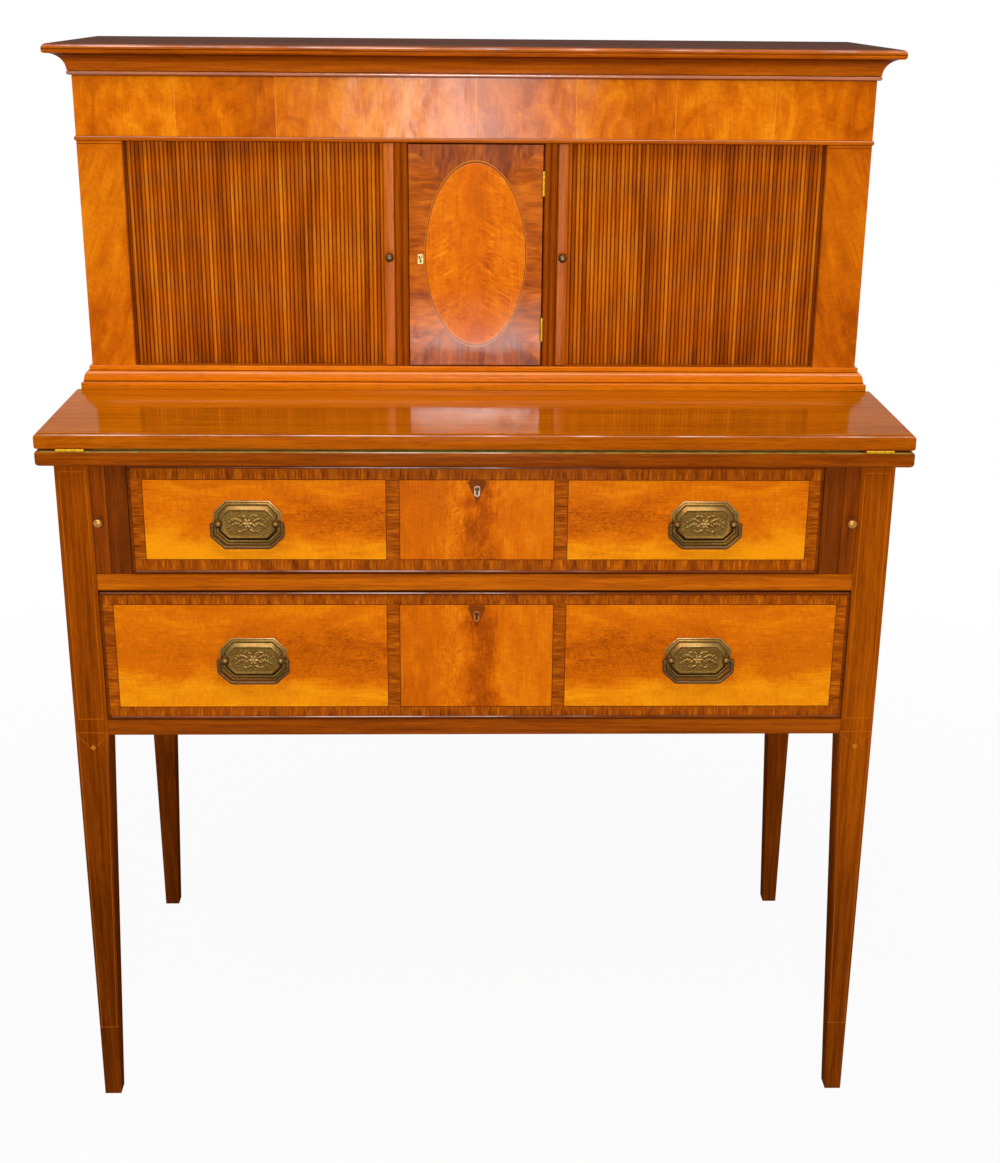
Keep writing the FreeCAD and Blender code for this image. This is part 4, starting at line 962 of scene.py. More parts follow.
@dataclass(frozen=True)
class FriezeVeneer:
    """Finish of the frieze: birch leaves matched like the pages of a book."""

    leaf: float
    offset: float
    high: float
    seam: float = 0.4 * MM

    def material(self) -> Material:
        """Fold x back and forth by the width of a leaf, so that neighbours mirror each other.

        Returns:
            The material.
        """
        g = Graph("frieze_veneer")
        x, _, up = g.axes()
        along = g.add(x, self.offset)
        fold = g.math("PINGPONG", along, self.leaf)
        own = g.lot(g.math("FLOOR", g.over(along, self.leaf)))
        wave = g.noise((fold, g.times(up, 0.6), g.times(own, 6.0)), 30, 4, 1.8)
        lean = g.add(g.ease(fold, 0.0, self.leaf, -0.12, 0.14), g.swing(own, 0.34), g.swing(wave, 1.3),
                     g.ease(x, 0.0, 0.35, 0.5, 0.4))
        colour, fibre = flame(g, fold, up, FRIEZE_TONES, lean, 2.9, 0.25)
        # Painted shade: a dark line along the top, under the cove.
        colour = g.darken(colour, g.bell(up, self.high, 1.6 * MM), 0.75)
        seam = g.most(g.within(fold, -1.0, self.seam), g.within(fold, self.leaf - self.seam, 1.0))
        colour = g.paint(colour, (250, 170, 60), seam, 0.45)
        swell = g.noise((x, g.times(up, 0.6), 0.3), 26, 5)
        direction = g.bump(g.add(swell, g.times(fibre, 0.03)), 0.4, 0.004)
        gloss = g.line(g.bell(x, -0.04, 0.22), 0.34, 0.025)
        return g.close(colour, g.spread(swell, 0.14, 0.22), direction, Specular_IOR_Level=gloss)


@dataclass(frozen=True)
class StileVeneer:
    """Finish of the stiles: birch with its feather running down at a slant, and a dark string at the opening."""

    inner: float
    high: float

    def material(self) -> Material:
        """Turn the plane of x and z before the flame is laid.

        Returns:
            The material.
        """
        g = Graph("stile_veneer")
        x, _, up = g.axes()
        flat = g.size(x)
        u = g.add(g.times(flat, 0.85), g.times(up, 0.3))
        v = g.add(g.times(up, 0.85), g.times(flat, -0.5))
        wave = g.noise((u, g.times(v, 0.35), 1.2), 26, 4, 1.5)
        lean = g.add(g.swing(wave, 1.5), g.ease(x, -0.1, 0.1, 0.54, 0.36))
        colour, fibre = flame(g, u, v, STILE_TONES, lean, 6.1, 0.25)
        string = g.most(g.within(flat, 0.0, self.inner + 1.6 * MM), g.within(up, self.high - 1.2 * MM, self.high))
        return FRENCH.close(g, g.paint(colour, (96, 42, 3), string, 0.7), fibre)


@dataclass(frozen=True)
class DoorVeneer:
    """Finish of the door: four mahogany quarters that meet on the diagonals, and a strung oval of birch."""

    centre_x: float
    centre_z: float
    half_width: float
    half_height: float
    mitre: float = 46.5 * MM
    dark_string: float = 1.013
    light_string: float = 1.027

    def oval(self, g: Graph, flat: Socket, rise: Socket) -> tuple[Socket, Socket]:
        """Lay the birch, dimmer down its middle, with ripples that arch to either side.

        Args:
            g: nodes of the finish.
            flat: place across, from the middle of the oval.
            rise: height from there.

        Returns:
            Colour and height.
        """
        aside = g.size(flat)
        ripple = g.noise((g.times(flat, 0.3), g.line(aside, 0.5, rise), 0.2), 170, 4, 1.4)
        cloud = g.noise((flat, rise, 5.0), 30, 3)
        patch = g.times(g.ease(cloud, 0.36, 0.56), g.ease(rise, -0.02, 0.09, 1.0, 0.45))
        dim = g.bell(g.add(flat, g.swing(ripple, 0.04)), 0.002, 0.032)
        wavy = g.times(g.swing(ripple, 1.9), patch, g.ease(aside, 0.0, 0.016, 0.25, 1.0))
        return flame(g, flat, rise, OVAL_TONES, g.add(g.times(dim, -0.2), wavy, 0.55), 8.3, 0.2)

    def quarters(self, g: Graph, flat: Socket, rise: Socket) -> Socket:
        """Lay the mahogany, its bands level at the sides and upright above and below.

        Args:
            g: nodes of the finish.
            flat: place across, from the middle of the oval.
            rise: height from there.

        Returns:
            Colour.
        """
        steep = g.above(g.minus(g.size(rise), self.mitre), g.size(flat))
        along, over = swapped(g, rise, flat, steep)
        quarter = g.add(g.math("SIGN", flat), g.times(g.math("SIGN", rise), 3.0), g.times(steep, 7.0))
        band = g.noise((along, g.times(over, 0.2), g.times(quarter, 0.37)), 220, 4, 0.8)
        wide = g.noise((along, g.times(over, 0.35), g.times(quarter, 0.71)), 36, 3, 0.5)
        shade = g.add(g.swing(band, 1.5), g.swing(wide, 1.5), g.times(steep, -0.22), 0.5)
        return g.ramp(shade, QUARTER_TONES.stops())

    def material(self) -> Material:
        """Measure the oval by the root of the sum of squared shares of its half axes; 1 is its edge.

        Returns:
            The material.
        """
        g = Graph("door_veneer")
        x, _, up = g.axes()
        flat, rise = g.minus(x, self.centre_x), g.minus(up, self.centre_z)
        shares = g.over(flat, self.half_width), g.over(rise, self.half_height)
        reach = g.math("SQRT", g.add(*(g.times(share, share) for share in shares)))
        oval, fibre = self.oval(g, flat, rise)
        colour = g.paint(self.quarters(g, flat, rise), oval, g.under(reach, 1.0))
        colour = g.paint(colour, (104, 48, 4), g.within(reach, 1.0, self.dark_string))
        colour = g.paint(colour, (206, 120, 26), g.within(reach, self.dark_string, self.light_string))
        colour = cored(g, colour, CASE_FRONT, Grain.UPRIGHT)
        swell = g.noise(g.place(), 40, 4)
        ends = g.most(g.ease(rise, 0.08, 0.115, 0.02, 0.04), g.ease(rise, -0.1, -0.03, 0.24, 0.02))
        gloss = g.times(ends, g.ease(reach, 0.96, 1.0, 0.4, 1.0))
        direction = g.bump(g.add(swell, g.times(fibre, 0.05)), 0.25, 0.002)
        rough = g.times(g.spread(swell, 0.16, 0.24), g.ease(rise, -0.11, -0.06, 0.62, 1.0))
        return g.close(colour, rough, direction, Specular_IOR_Level=gloss)


@dataclass(frozen=True)
class LegInlay:
    """Finish of a leg: upright mahogany with string panels, a small diamond and a cuff line."""

    name: str
    strung: bool
    outer: float = 441 * MM
    post: float = 36 * MM
    foot: float = 19 * MM
    height: float = 469 * MM
    cuff: float = 93 * MM
    top: float = 778.5 * MM
    panel_foot: float = 19 * MM
    panel_head: float = 8 * MM
    panel_inset: float = 4.2 * MM
    panel_string: float = 0.8 * MM
    diamond: float = 3.4 * MM
    diamond_drop: float = 15 * MM

    def material(self) -> Material:
        """Lay the strings at a steady distance from both edges of the tapered face.

        Returns:
            The material.
        """
        g = Graph(self.name)
        x, _, up = g.axes()
        colour, pore = straight_grain(g, Grain.UPRIGHT, LEG_TONES)
        colour = g.paint(colour, straight_grain(g, Grain.UPRIGHT, POST_TONES)[0], g.ease(up, 0.2, 0.52))
        if self.strung:
            outside = g.minus(self.outer, g.size(x))
            width = g.least(g.line(up, (self.post - self.foot) / self.height, self.foot), self.post)
            edge = g.least(outside, g.minus(width, outside))
            colour = g.paint(colour, (196, 100, 14), self.panel(g, edge, up), 0.7)
            colour = g.paint(colour, (186, 100, 26), self.taper(g, edge, up), 0.55)
            colour = g.paint(colour, (196, 108, 34), self.drop(g, outside, up))
        return WORN.close(g, colour, pore)

    def panel(self, g: Graph, edge: Socket, up: Socket) -> Socket:
        """1 on the string that frames the post, at a steady distance from its edges and ends."""
        ends = g.minus(up, self.height + self.panel_foot), g.minus(self.top - self.panel_head, up)
        return g.within(g.least(g.minus(edge, self.panel_inset), *ends), 0.0, self.panel_string)

    def taper(self, g: Graph, edge: Socket, up: Socket) -> Socket:
        """Find the strings down both edges of the leg, and the lines across its top and its cuff.

        Args:
            g: nodes of the finish.
            edge: distance from the nearer edge.
            up: height.

        Returns:
            1 on the strings and 0 elsewhere.
        """
        top = self.height + 3 * MM
        sides = g.times(g.within(edge, 2.2 * MM, 3.0 * MM), g.within(up, self.cuff, top))
        return g.most(sides, *(g.within(up, level - 0.5 * MM, level + 0.5 * MM) for level in (top, self.cuff)))

    def drop(self, g: Graph, outside: Socket, up: Socket) -> Socket:
        """Find the diamond and the two slanting strings that it hangs from.

        Args:
            g: nodes of the finish.
            outside: distance from the outer edge.
            up: height.

        Returns:
            1 on the diamond, part of 1 on the strings and 0 elsewhere.
        """
        aside = g.size(g.minus(outside, self.post / 2))
        down = g.minus(self.height - self.diamond_drop, up)
        diamond = g.under(g.add(aside, g.size(down)), self.diamond)
        slant = g.within(g.add(aside, down), 1.9 * MM, 2.9 * MM)
        hung = g.within(up, self.height - 13 * MM, self.height + 2 * MM)
        return g.most(diamond, g.times(slant, hung, 0.5))


class Surface:
    """Vertices and faces of a new piece, gathered from grids and caps."""

    def __init__(self) -> None:
        """Start with nothing."""
        self.points: list[np.ndarray] = []
        self.faces: list[np.ndarray] = []
        self.caps: list[list[int]] = []
        self.laid: list[np.ndarray] = []
        self.total = 0

    def grid(self, points: np.ndarray, around: bool = False, laid: np.ndarray | None = None,
             flip: bool = False) -> np.ndarray:
        """Add a grid of points with four-cornered faces between neighbours.

        Args:
            points: rows, columns and three coordinates.
            around: join the last column to the first.
            laid: two coordinates a point for the UV map; zeros if left out.
            flip: turn the faces to look the other way.

        Returns:
            The numbers of the points, as rows and columns.
        """
        rows, columns = points.shape[:2]
        number = np.arange(rows * columns).reshape(rows, columns) + self.total
        ahead = np.roll(number, -1, axis=1)
        last = columns if around else columns - 1
        corners = (number[:-1, :last], ahead[:-1, :last], ahead[1:, :last], number[1:, :last])
        self.faces.append(np.stack(corners[::-1] if flip else corners, axis=-1).reshape(-1, 4))
        self.points.append(points.reshape(-1, 3))
        self.laid.append((np.zeros((rows, columns, 2)) if laid is None else laid).reshape(-1, 2))
        self.total += rows * columns
        return number

    def cap(self, ring: np.ndarray) -> None:
        """Close a ring of points with one flat face."""
        self.caps.append(ring.tolist())

    def tube(self, points: np.ndarray, laid: np.ndarray | None = None, flip: bool = False) -> None:
        """Add a grid that closes round on itself, and a flat face at either end.

        Args:
            points: rows along the tube, columns round it, and three coordinates.
            laid: two coordinates a point for the UV map; zeros if left out.
            flip: turn the faces to look the other way.
        """
        number = self.grid(points, True, laid, flip)
        for ring in (number[0][::-1], number[-1]):
            self.cap(ring[::-1] if flip else ring)

    def slab(self, points: np.ndarray, depth: float, tone: np.ndarray) -> None:
        """Add a grid that faces the front as the front of a closed slab.

        Args:
            points: rows upwards, columns to the right, and three coordinates.
            depth: how far back the slab goes.
            tone: number a point for the UV map.
        """
        back = points[[-1, 0]] + np.array([0.0, depth, 0.0])
        back[..., 1] = back[..., 1].max()
        tones = np.concatenate([tone, 0 * tone[:2]]).T
        self.tube(np.concatenate([points, back]).transpose(1, 0, 2), np.stack([tones, tones], axis=-1), flip=True)

    def build(self, name: str, sharp: float = 35.0) -> Piece:
        """Make the object.

        Args:
            name: name of the piece.
            sharp: edges that turn by more than this, in degrees, stay sharp.

        Returns:
            The object, at the origin, with its place in its mesh.
        """
        mesh = bpy.data.meshes.new(name)
        faces = np.concatenate(self.faces).tolist() + self.caps
        mesh.from_pydata(np.concatenate(self.points), [], faces)
        corner = np.zeros(len(mesh.loops), int)
        mesh.loops.foreach_get("vertex_index", corner)
        mesh.uv_layers.new(name="laid").data.foreach_set("uv", np.concatenate(self.laid)[corner].ravel())
        mesh.validate()
        mesh.shade_smooth()
        mesh.set_sharp_from_angle(angle=math.radians(sharp))
        piece = bpy.data.objects.new(name, mesh)
        bpy.context.scene.collection.objects.link(piece)
        return piece


def dress(piece: Piece, material: Material) -> None:
    """Give a piece its finish in place of whatever it had."""
    piece.data.materials.clear()
    piece.data.materials.append(material)


def dress_node(name: str, material: Material) -> None:
    """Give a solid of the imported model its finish."""
    dress(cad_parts[name], material)
    LOG.info("%s: %s", name, material.name)


def set_down(piece: Piece, body: str, slot: str, material: Material, *nodes: str) -> None:
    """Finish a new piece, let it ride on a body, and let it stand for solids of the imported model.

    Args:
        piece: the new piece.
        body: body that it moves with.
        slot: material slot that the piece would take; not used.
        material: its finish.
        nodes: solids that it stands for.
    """
    dress(piece, material)
    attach(piece, body)
    if nodes:
        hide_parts(*nodes)
    LOG.info("%s: %d faces on %s", piece.name, len(piece.data.polygons), body)


def lathe(surface: Surface, profile: np.ndarray, spot: Spot, steps: int = 28) -> None:
    """Turn a profile round an axis that points to the front.

    A profile point of radius r and reach d goes to x + r cos a, y - d, z + r sin a for every angle a.

    Args:
        surface: surface that gathers the turning.
        profile: radius and reach a point.
        spot: place of the axis at no reach.
        steps: points round the axis.
    """
    x, y, z = spot
    angle = np.linspace(0, 2 * np.pi, steps, endpoint=False)
    radius, reach = profile[:, :1], profile[:, 1:]
    points = np.stack([x + radius * np.cos(angle), y - reach + 0 * angle, z + radius * np.sin(angle)], axis=-1)
    surface.tube(points, np.full(points.shape[:2] + (2,), TURNED_TONE))


def distances(path: np.ndarray) -> np.ndarray:
    """How far each point of a path lies from its start, along the path."""
    return np.concatenate([[0], np.hypot(*np.diff(path, axis=0).T).cumsum()])


def averaged(path: np.ndarray) -> np.ndarray:
    """Moving average of five neighbours, which takes two points off either end."""
    return np.stack([np.convolve(column, np.ones(5) / 5, mode="valid") for column in path.T], axis=1)


def smooth_profile(points: np.ndarray, steps: int = 4) -> np.ndarray:
    """Round a coarse profile: fine steps along its straight runs, then a moving average that keeps both ends.

    Args:
        points: radius and reach a point.
        steps: fine steps to a run.

    Returns:
        The rounded profile.
    """
    spots = np.arange(len(points))
    fine = np.linspace(0, len(points) - 1, (len(points) - 1) * steps + 1)
    dense = np.stack([np.interp(fine, spots, column) for column in points.T], axis=1)
    mean = averaged(np.pad(dense, ((2, 2), (0, 0)), mode="edge"))
    mean[0], mean[-1] = dense[0], dense[-1]
    return mean


def arc(middle: tuple[float, float], radius: float, start: float, end: float, steps: int = 14) -> np.ndarray:
    """Points of an arc; angles in degrees from the first axis."""
    angle = np.radians(np.linspace(start, end, steps))
    return np.stack([middle[0] + radius * np.cos(angle), middle[1] + radius * np.sin(angle)], axis=1)


@dataclass
class Mouldings:
    """Mouldings mitred round the front and both ends of the upper case."""

    half: float = 438 * MM
    front: float = CASE_FRONT
    back: float = 238 * MM
    foot: float = 795.5 * MM
    slab: float = 25.5 * MM
    slab_out: float = 12 * MM
    slab_ease: float = 0.8 * MM
    ovolo: float = 12.5 * MM
    ovolo_out: float = 6.2 * MM
    fillet: float = 3 * MM
    fillet_ease: float = 0.6 * MM
    sill: float = 839 * MM
    head: float = 1088 * MM
    bead_radius: float = 2.6 * MM
    cove_foot: float = 1157 * MM
    cove_bead: float = 2.5 * MM
    cove_step: float = 4 * MM
    cove_radius: float = 18 * MM
    cornice: float = 1180 * MM

    def run_round(self, name: str, profile: np.ndarray, finish: Mitred, *nodes: str) -> None:
        """Carry a profile of outward and upward distances round the case, with mitred corners.

        A point that stands out by a and up at z lies at (-h - a, back), (-h - a, f - a), (h + a, f - a),
        (h + a, back), where h is the half width and f the front.

        Args:
            name: name of the piece.
            profile: outward distance and height a point.
            finish: its finish.
            nodes: solids that it stands for.
        """
        out, up = profile[:, 0], profile[:, 1]
        steady = np.full_like(out, self.back)
        x = np.stack([-self.half - out, -self.half - out, self.half + out, self.half + out], axis=1)
        y = np.stack([steady, self.front - out, self.front - out, steady], axis=1)
        points = np.stack([x, y, np.repeat(up[:, None], 4, axis=1)], axis=-1)
        deep, wide = self.back - self.front, 2 * self.half
        along = np.array([0, deep, deep + wide, 2 * deep + wide])
        laid = np.stack(np.broadcast_arrays(along[None, :], distances(profile)[:, None]), axis=-1)
        surface = Surface()
        number = surface.grid(points, laid=laid, flip=True)
        surface.cap(number[:, 0])
        surface.cap(number[::-1, -1])
        set_down(surface.build(name), "desk", "mahogany", finish.material(), *nodes)

    def base(self) -> np.ndarray:
        """Profile of the base: a slab with an eased edge, an ovolo and a fillet.

        Returns:
            Outward distance and height a point.
        """
        step, turn = self.foot + self.slab, np.linspace(0, np.pi / 2, 16)[1:-1]
        out, inner = self.slab_out, self.fillet
        return np.concatenate([
            [(0.0, self.foot), (out, self.foot), (out, step - self.slab_ease), (out - self.slab_ease, step),
             (inner + self.ovolo_out, step)],
            np.stack([inner + self.ovolo_out * np.cos(turn) ** 0.8, step + self.ovolo * np.sin(turn)], axis=1),
            [(inner, step + self.ovolo), (inner, self.sill - self.fillet_ease),
             (inner - self.fillet_ease, self.sill), (0.0, self.sill)]])

    def bead(self) -> np.ndarray:
        """Profile of the bead under the frieze: a half round pressed to seven tenths.

        Returns:
            Outward distance and height a point.
        """
        radius = self.bead_radius
        rounded = arc((0.0, self.head + radius), radius, -90, 90)
        points = np.concatenate([[(0.0, self.head)], rounded, [(0.0, self.head + 2 * radius)]])
        return points * np.array([0.7, 1.0])

    def cove(self) -> np.ndarray:
        """Profile of the cove: a bead at its foot and a hollow quarter round.

        Returns:
            Outward distance and height a point.
        """
        low, bead, out = self.cove_foot, self.cove_bead, self.cove_step + self.cove_radius
        return np.concatenate([
            [(0.0, low), (2 * MM, low)],
            arc((2 * MM, low + bead), bead, -90, 90, 10),
            [(self.cove_step, low + 2 * bead + 0.2 * MM)],
            arc((out, low + 2 * bead), self.cove_radius, 180, 90, 18),
            [(out, self.cornice), (0.0, self.cornice)]])

    def build(self) -> None:
        """Base moulding, the small bead under the frieze, and the cove with its bead.

        The numbers are points of each profile: its steps, darkened by painted shade, and the two ends of the cove's
        bead.
        """
        base, bead, cove = self.base(), self.bead(), self.cove()
        finish = Mitred("base_mahogany", BASE_TONES, self.along(base, 5, -4), edge=0.5)
        self.run_round("base_moulding_run", base, finish, "base_moulding")
        self.run_round("frieze_bead", bead, Mitred("bead_mahogany", BEAD_TONES, self.along(bead, 1, -2)))
        finish = Mitred("cove_mahogany", CORNICE_TONES, self.along(cove, 11, -2), bead=self.along(cove, 3, 9))
        self.run_round("cornice_cove_run", cove, finish, "cornice_cove")

    def along(self, profile: np.ndarray, *numbers: int) -> tuple[float, ...]:
        """Distances along a profile of those of its points."""
        return tuple(float(distances(profile)[number]) for number in numbers)


@dataclass
class Tambour:
    """One curtain of half-round reeds on canvas, that runs out of sight round the corner of the case."""

    word: str
    side: int
    start: float = 103.1 * MM
    pitch: float = 4.5 * MM
    count: int = 66
    low: float = 834 * MM
    high: float = 1092.2 * MM
    face: float = -4.45 * MM
    valley: float = -1.75 * MM
    back: float = -1.15 * MM
    steps: int = 8
    fullness: float = 0.97
    kept: float = 0.0434

    def build(self) -> None:
        """Reeds by a half-round formula.

        Depth is the rise times the root of 1 less the squared share from the middle.
        """
        share = np.linspace(-1, 1, self.steps + 1)
        rise = (self.valley - self.face) * np.sqrt(np.clip(1 - (self.fullness * share) ** 2, 0, 1))
        across = np.concatenate([(np.arange(self.count)[:, None] * self.pitch
                                  + (share[None, :-1] + 1) / 2 * self.pitch).ravel(), [self.count * self.pitch]])
        front = self.valley - np.concatenate([np.tile(rise[:-1], self.count), rise[:1]])
        x = self.side * (self.start + across)
        flat = np.full_like(x, self.back)
        ends = np.array([self.low, self.high, self.high, self.low])
        y = np.stack([front, front, flat, flat], axis=1)
        points = np.stack([np.repeat(x[:, None], 4, axis=1), y, np.broadcast_to(ends, y.shape)], axis=-1)
        laid = np.stack(np.broadcast_arrays(across[:, None], ends[None, :]), axis=-1)
        surface = Surface()
        surface.tube(points, laid, flip=self.side > 0)
        piece = surface.build(f"reeds_{self.word}", sharp=50)
        finish = Reeded(f"tambour_reeds_{self.word}", self.pitch)
        set_down(piece, "desk", "tambour", finish.material(), f"curtain_{self.word}")
        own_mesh(piece)


@dataclass
class Knobs:
    """Turned knobs of the curtains and the lopers."""

    curtain: Spot = (97.1 * MM, -15 * MM, 963.5 * MM)
    curtain_size: tuple[float, float] = (5 * MM, 13 * MM)
    loper: Spot = (396.75 * MM, DRAWER_FACE, 717.75 * MM)
    loper_size: tuple[float, float] = (5.5 * MM, 16 * MM)
    thinnest: float = 0.05 * MM

    def turn(self, name: str, size: tuple[float, float], spot: Spot, side: int) -> Piece:
        """Turn a collar, a waist and a domed head, given as shares of the knob's radius and reach.

        Args:
            name: name of the piece.
            size: radius of the head, and how far it stands out.
            spot: middle of its foot on the right of the desk.
            side: 1 for the right and -1 for the left.

        Returns:
            The knob.
        """
        profile = smooth_profile(KNOB_PROFILE * np.array(size))
        profile[:, 0] = np.maximum(profile[:, 0], self.thinnest)
        surface = Surface()
        lathe(surface, profile, (side * spot[0], *spot[1:]))
        return surface.build(name, sharp=60)

    def build(self) -> None:
        """Two dark knobs on the lead strips and two brighter ones on the lopers."""
        dark = Brass("dark_brass", (120, 92, 60), (58, 42, 30), 0.22).material()
        bright = Brass("knob_brass", (196, 140, 72), (140, 84, 36), 0.28).material()
        for word, side in SIDES:
            piece = self.turn(f"curtain_grip_{word}", self.curtain_size, self.curtain, side)
            set_down(piece, f"{word}_tambour", "brass", dark, f"curtain_knob_{word}")
            piece = self.turn(f"loper_grip_{word}", self.loper_size, self.loper, side)
            set_down(piece, f"{word}_loper", "brass", bright, f"loper_knob_{word}")


@dataclass
class Pull:
    """One drawer pull: a moulded octagonal plate with a raised spray, two posts and a swinging bail."""

    tier: Tier
    word: str
    side: int
    level: float
    offset: float = 242 * MM
    half_width: float = 36.2 * MM
    half_height: float = 24.3 * MM
    corner: float = 13 * MM
    spread: float = 30 * MM
    pin: float = 7.2 * MM
    field_wide: float = 23.5  # half of the raised field, in millimetres as all below
    field_tall: float = 12.8
    field_high: float = 4.44
    field_cut: float = 31.5
    rod_radius: float = 2.35
    rod_end: float = 2.2
    pin_radius: float = 1.45
    pin_span: tuple[float, float] = (37.6, 28.5)

    @property
    def middle(self) -> float:
        """Place of the pull along the drawer."""
        return self.side * self.offset

    def octagon(self, inset: np.ndarray) -> tuple[np.ndarray, np.ndarray]:
        """Set the octagon in by a distance; a cut corner shortens by 2 less the root of 2 times that.

        Args:
            inset: distances from the edge of the plate.

        Returns:
            Places across and up of the eight corners, a row for each distance.
        """
        wide, tall = self.half_width - inset[:, None], self.half_height - inset[:, None]
        flat = self.corner - inset[:, None] * (2 - math.sqrt(2))
        sign_x = np.array([1, 1, 1, -1, -1, -1, -1, 1])
        sign_z = np.array([-1, 1, 1, 1, 1, -1, -1, -1])
        on_end = np.array([0, 0, 1, 1, 0, 0, 1, 1])
        return sign_x * (wide - on_end * flat), sign_z * (tall - (1 - on_end) * flat)

    def plate(self, surface: Surface) -> None:
        """Carry the plate's profile round the octagon and close the field.

        Args:
            surface: surface that gathers the pull.
        """
        x, z = self.octagon(PLATE_PROFILE[:, 0] * MM)
        y = np.repeat(DRAWER_FACE - PLATE_PROFILE[:, 1:2] * MM, 8, axis=1)
        laid = np.repeat(PLATE_PROFILE[:, 2:], 16, axis=1).reshape(-1, 8, 2)
        surface.tube(np.stack([self.middle + x, y, self.level + z], axis=-1), laid, flip=True)

    def lobes(self) -> np.ndarray:
        """List the lobes of the ornament: a rosette's petals and boss, and leaves along two stems.

        Returns:
            Place across and up, angle, two half axes and height of each lobe, in millimetres.
        """
        turn, step = np.arange(6) * np.pi / 3, np.arange(5)
        petals = [3.1 * np.cos(turn), 3.1 * np.sin(turn), turn, 0 * turn + 2.5, 0 * turn + 1.45, 0 * turn + 1.0]
        rows = [np.stack(petals, 1)]
        for way in (-1, 1):
            stem_x, stem_z = 7.5 + 2.9 * step, 2.8 * np.sin(step * 0.7 + 0.4) - 0.6
            for lift in (-1, 1):
                rows.append(np.stack([way * stem_x, stem_z + lift * 2.3, way * lift * (0.7 + 0.05 * step),
                                      2.5 - 0.2 * step, 1.15 - 0.08 * step, 0 * step + 0.8], 1))
            rows.append(CORNER_LEAVES * np.array([way, 1, way, 1, 1, 1]))
        rows.append(np.array([[0.0, 0.0, 0.0, 1.6, 1.6, 1.2]]))
        return np.concatenate(rows) * np.array([0.98, 1.16, 1.0, 1.16, 1.16, 1.0])

    def spray(self, surface: Surface) -> None:
        """Raised ornament on the field: a six-petalled rosette between two sprays of leaves on a stippled ground.

        Height is the largest of rounded lobes. A lobe at (a, b), turned by an angle, is the root of 1 less the
        squared shares of its two half axes; all heights fade to nothing at the edge of the field.

        Args:
            surface: surface that gathers the pull.
        """
        u, v = np.meshgrid(np.linspace(-1, 1, 130), np.linspace(-1, 1, 76))
        x, z = u * self.field_wide, v * self.field_tall
        a, b, angle, long, short, tall = self.lobes().T[:, :, None, None]
        near = ((x - a) * np.cos(angle) + (z - b) * np.sin(angle)) / long
        over = (-(x - a) * np.sin(angle) + (z - b) * np.cos(angle)) / short
        rise = (tall * np.sqrt(np.clip(1 - near ** 2 - over ** 2, 0, 1))).max(axis=0)
        ground = 0.14 * (2 + np.sin(2.9 * (x + z)) + np.sin(1.3 * x - 2.1 * z + 0.7)) / 2
        corner = np.clip((self.field_cut - np.abs(x) - np.abs(z)) / 1.2, 0, 1)
        fade = np.clip((1 - np.maximum(np.abs(u), np.abs(v))) * 14, 0, 1) * corner
        height = np.maximum(rise, ground) * fade
        y = DRAWER_FACE - (self.field_high + height) * MM
        points = np.stack([self.middle + x * MM, y, self.level + z * MM], axis=-1)
        surface.slab(points, depth=0.6 * MM, tone=0.16 + 0.42 * height)

    def posts(self, surface: Surface) -> None:
        """Turn a collar, a neck and a ball round the pin of the bail at each end, and the nut inside the drawer.

        Args:
            surface: surface that gathers the pull.
        """
        post = smooth_profile(POST_PROFILE * MM)
        for end in (-1, 1):
            spot = (self.middle + end * self.spread, DRAWER_FACE, self.level)
            lathe(surface, post, spot, steps=20)
            lathe(surface, NUT_PROFILE * MM, spot, steps=6)
            lathe(surface, SHANK_PROFILE * MM, spot, steps=8)

    def wire(self, surface: Surface, path: np.ndarray, radius: np.ndarray) -> None:
        """Carry a round section along a path that lies in the plane of the bail.

        With the path's direction (c, s), the section goes to r cos a along (-s, c) and to r sin a towards the
        front.

        Args:
            surface: surface that gathers the rod.
            path: points across and up, in millimetres from the middle of the pull.
            radius: radius at each point, in millimetres.
        """
        ahead = np.gradient(path, axis=0)
        ahead /= np.hypot(*ahead.T)[:, None]
        angle = np.linspace(0, 2 * np.pi, 16, endpoint=False)
        side = radius[:, None] * np.cos(angle)
        x = path[:, :1] - ahead[:, 1:] * side
        z = path[:, 1:] + ahead[:, :1] * side
        y = DRAWER_FACE - self.pin - radius[:, None] * np.sin(angle) * MM
        surface.tube(np.stack([self.middle + x * MM, y, self.level + z * MM], axis=-1))

    def rod(self, surface: Surface) -> None:
        """Bend a rod down, in, across and up again, and put a pin at each end.

        A moving average rounds the corners. The radius falls to the ends by the root of 1 less a squared share.

        Args:
            surface: surface that gathers the rod.
        """
        length = distances(BAIL_CORNERS)
        fine = np.linspace(0, length[-1], 140)
        path = np.stack([np.interp(fine, length, column) for column in BAIL_CORNERS.T], axis=1)
        path = np.concatenate([path[:2], averaged(path), path[-2:]])
        end = np.minimum(np.minimum(fine, length[-1] - fine) / self.rod_end, 1)
        self.wire(surface, path, self.rod_radius * np.sqrt(np.clip(1 - (1 - end) ** 2, 0.02, 1)))
        for way in (-1, 1):
            pin = np.stack([way * np.linspace(*self.pin_span, 4), np.zeros(4)], axis=1)
            self.wire(surface, pin, np.full(4, self.pin_radius))

    def build_bail(self, material: Material) -> None:
        """Make the swinging handle by itself.

        Args:
            material: its finish.
        """
        surface = Surface()
        self.rod(surface)
        name = f"{self.tier.value}_{self.word}_bail"
        set_down(surface.build(f"{name}_rod", sharp=50), name, "brass", material, name)


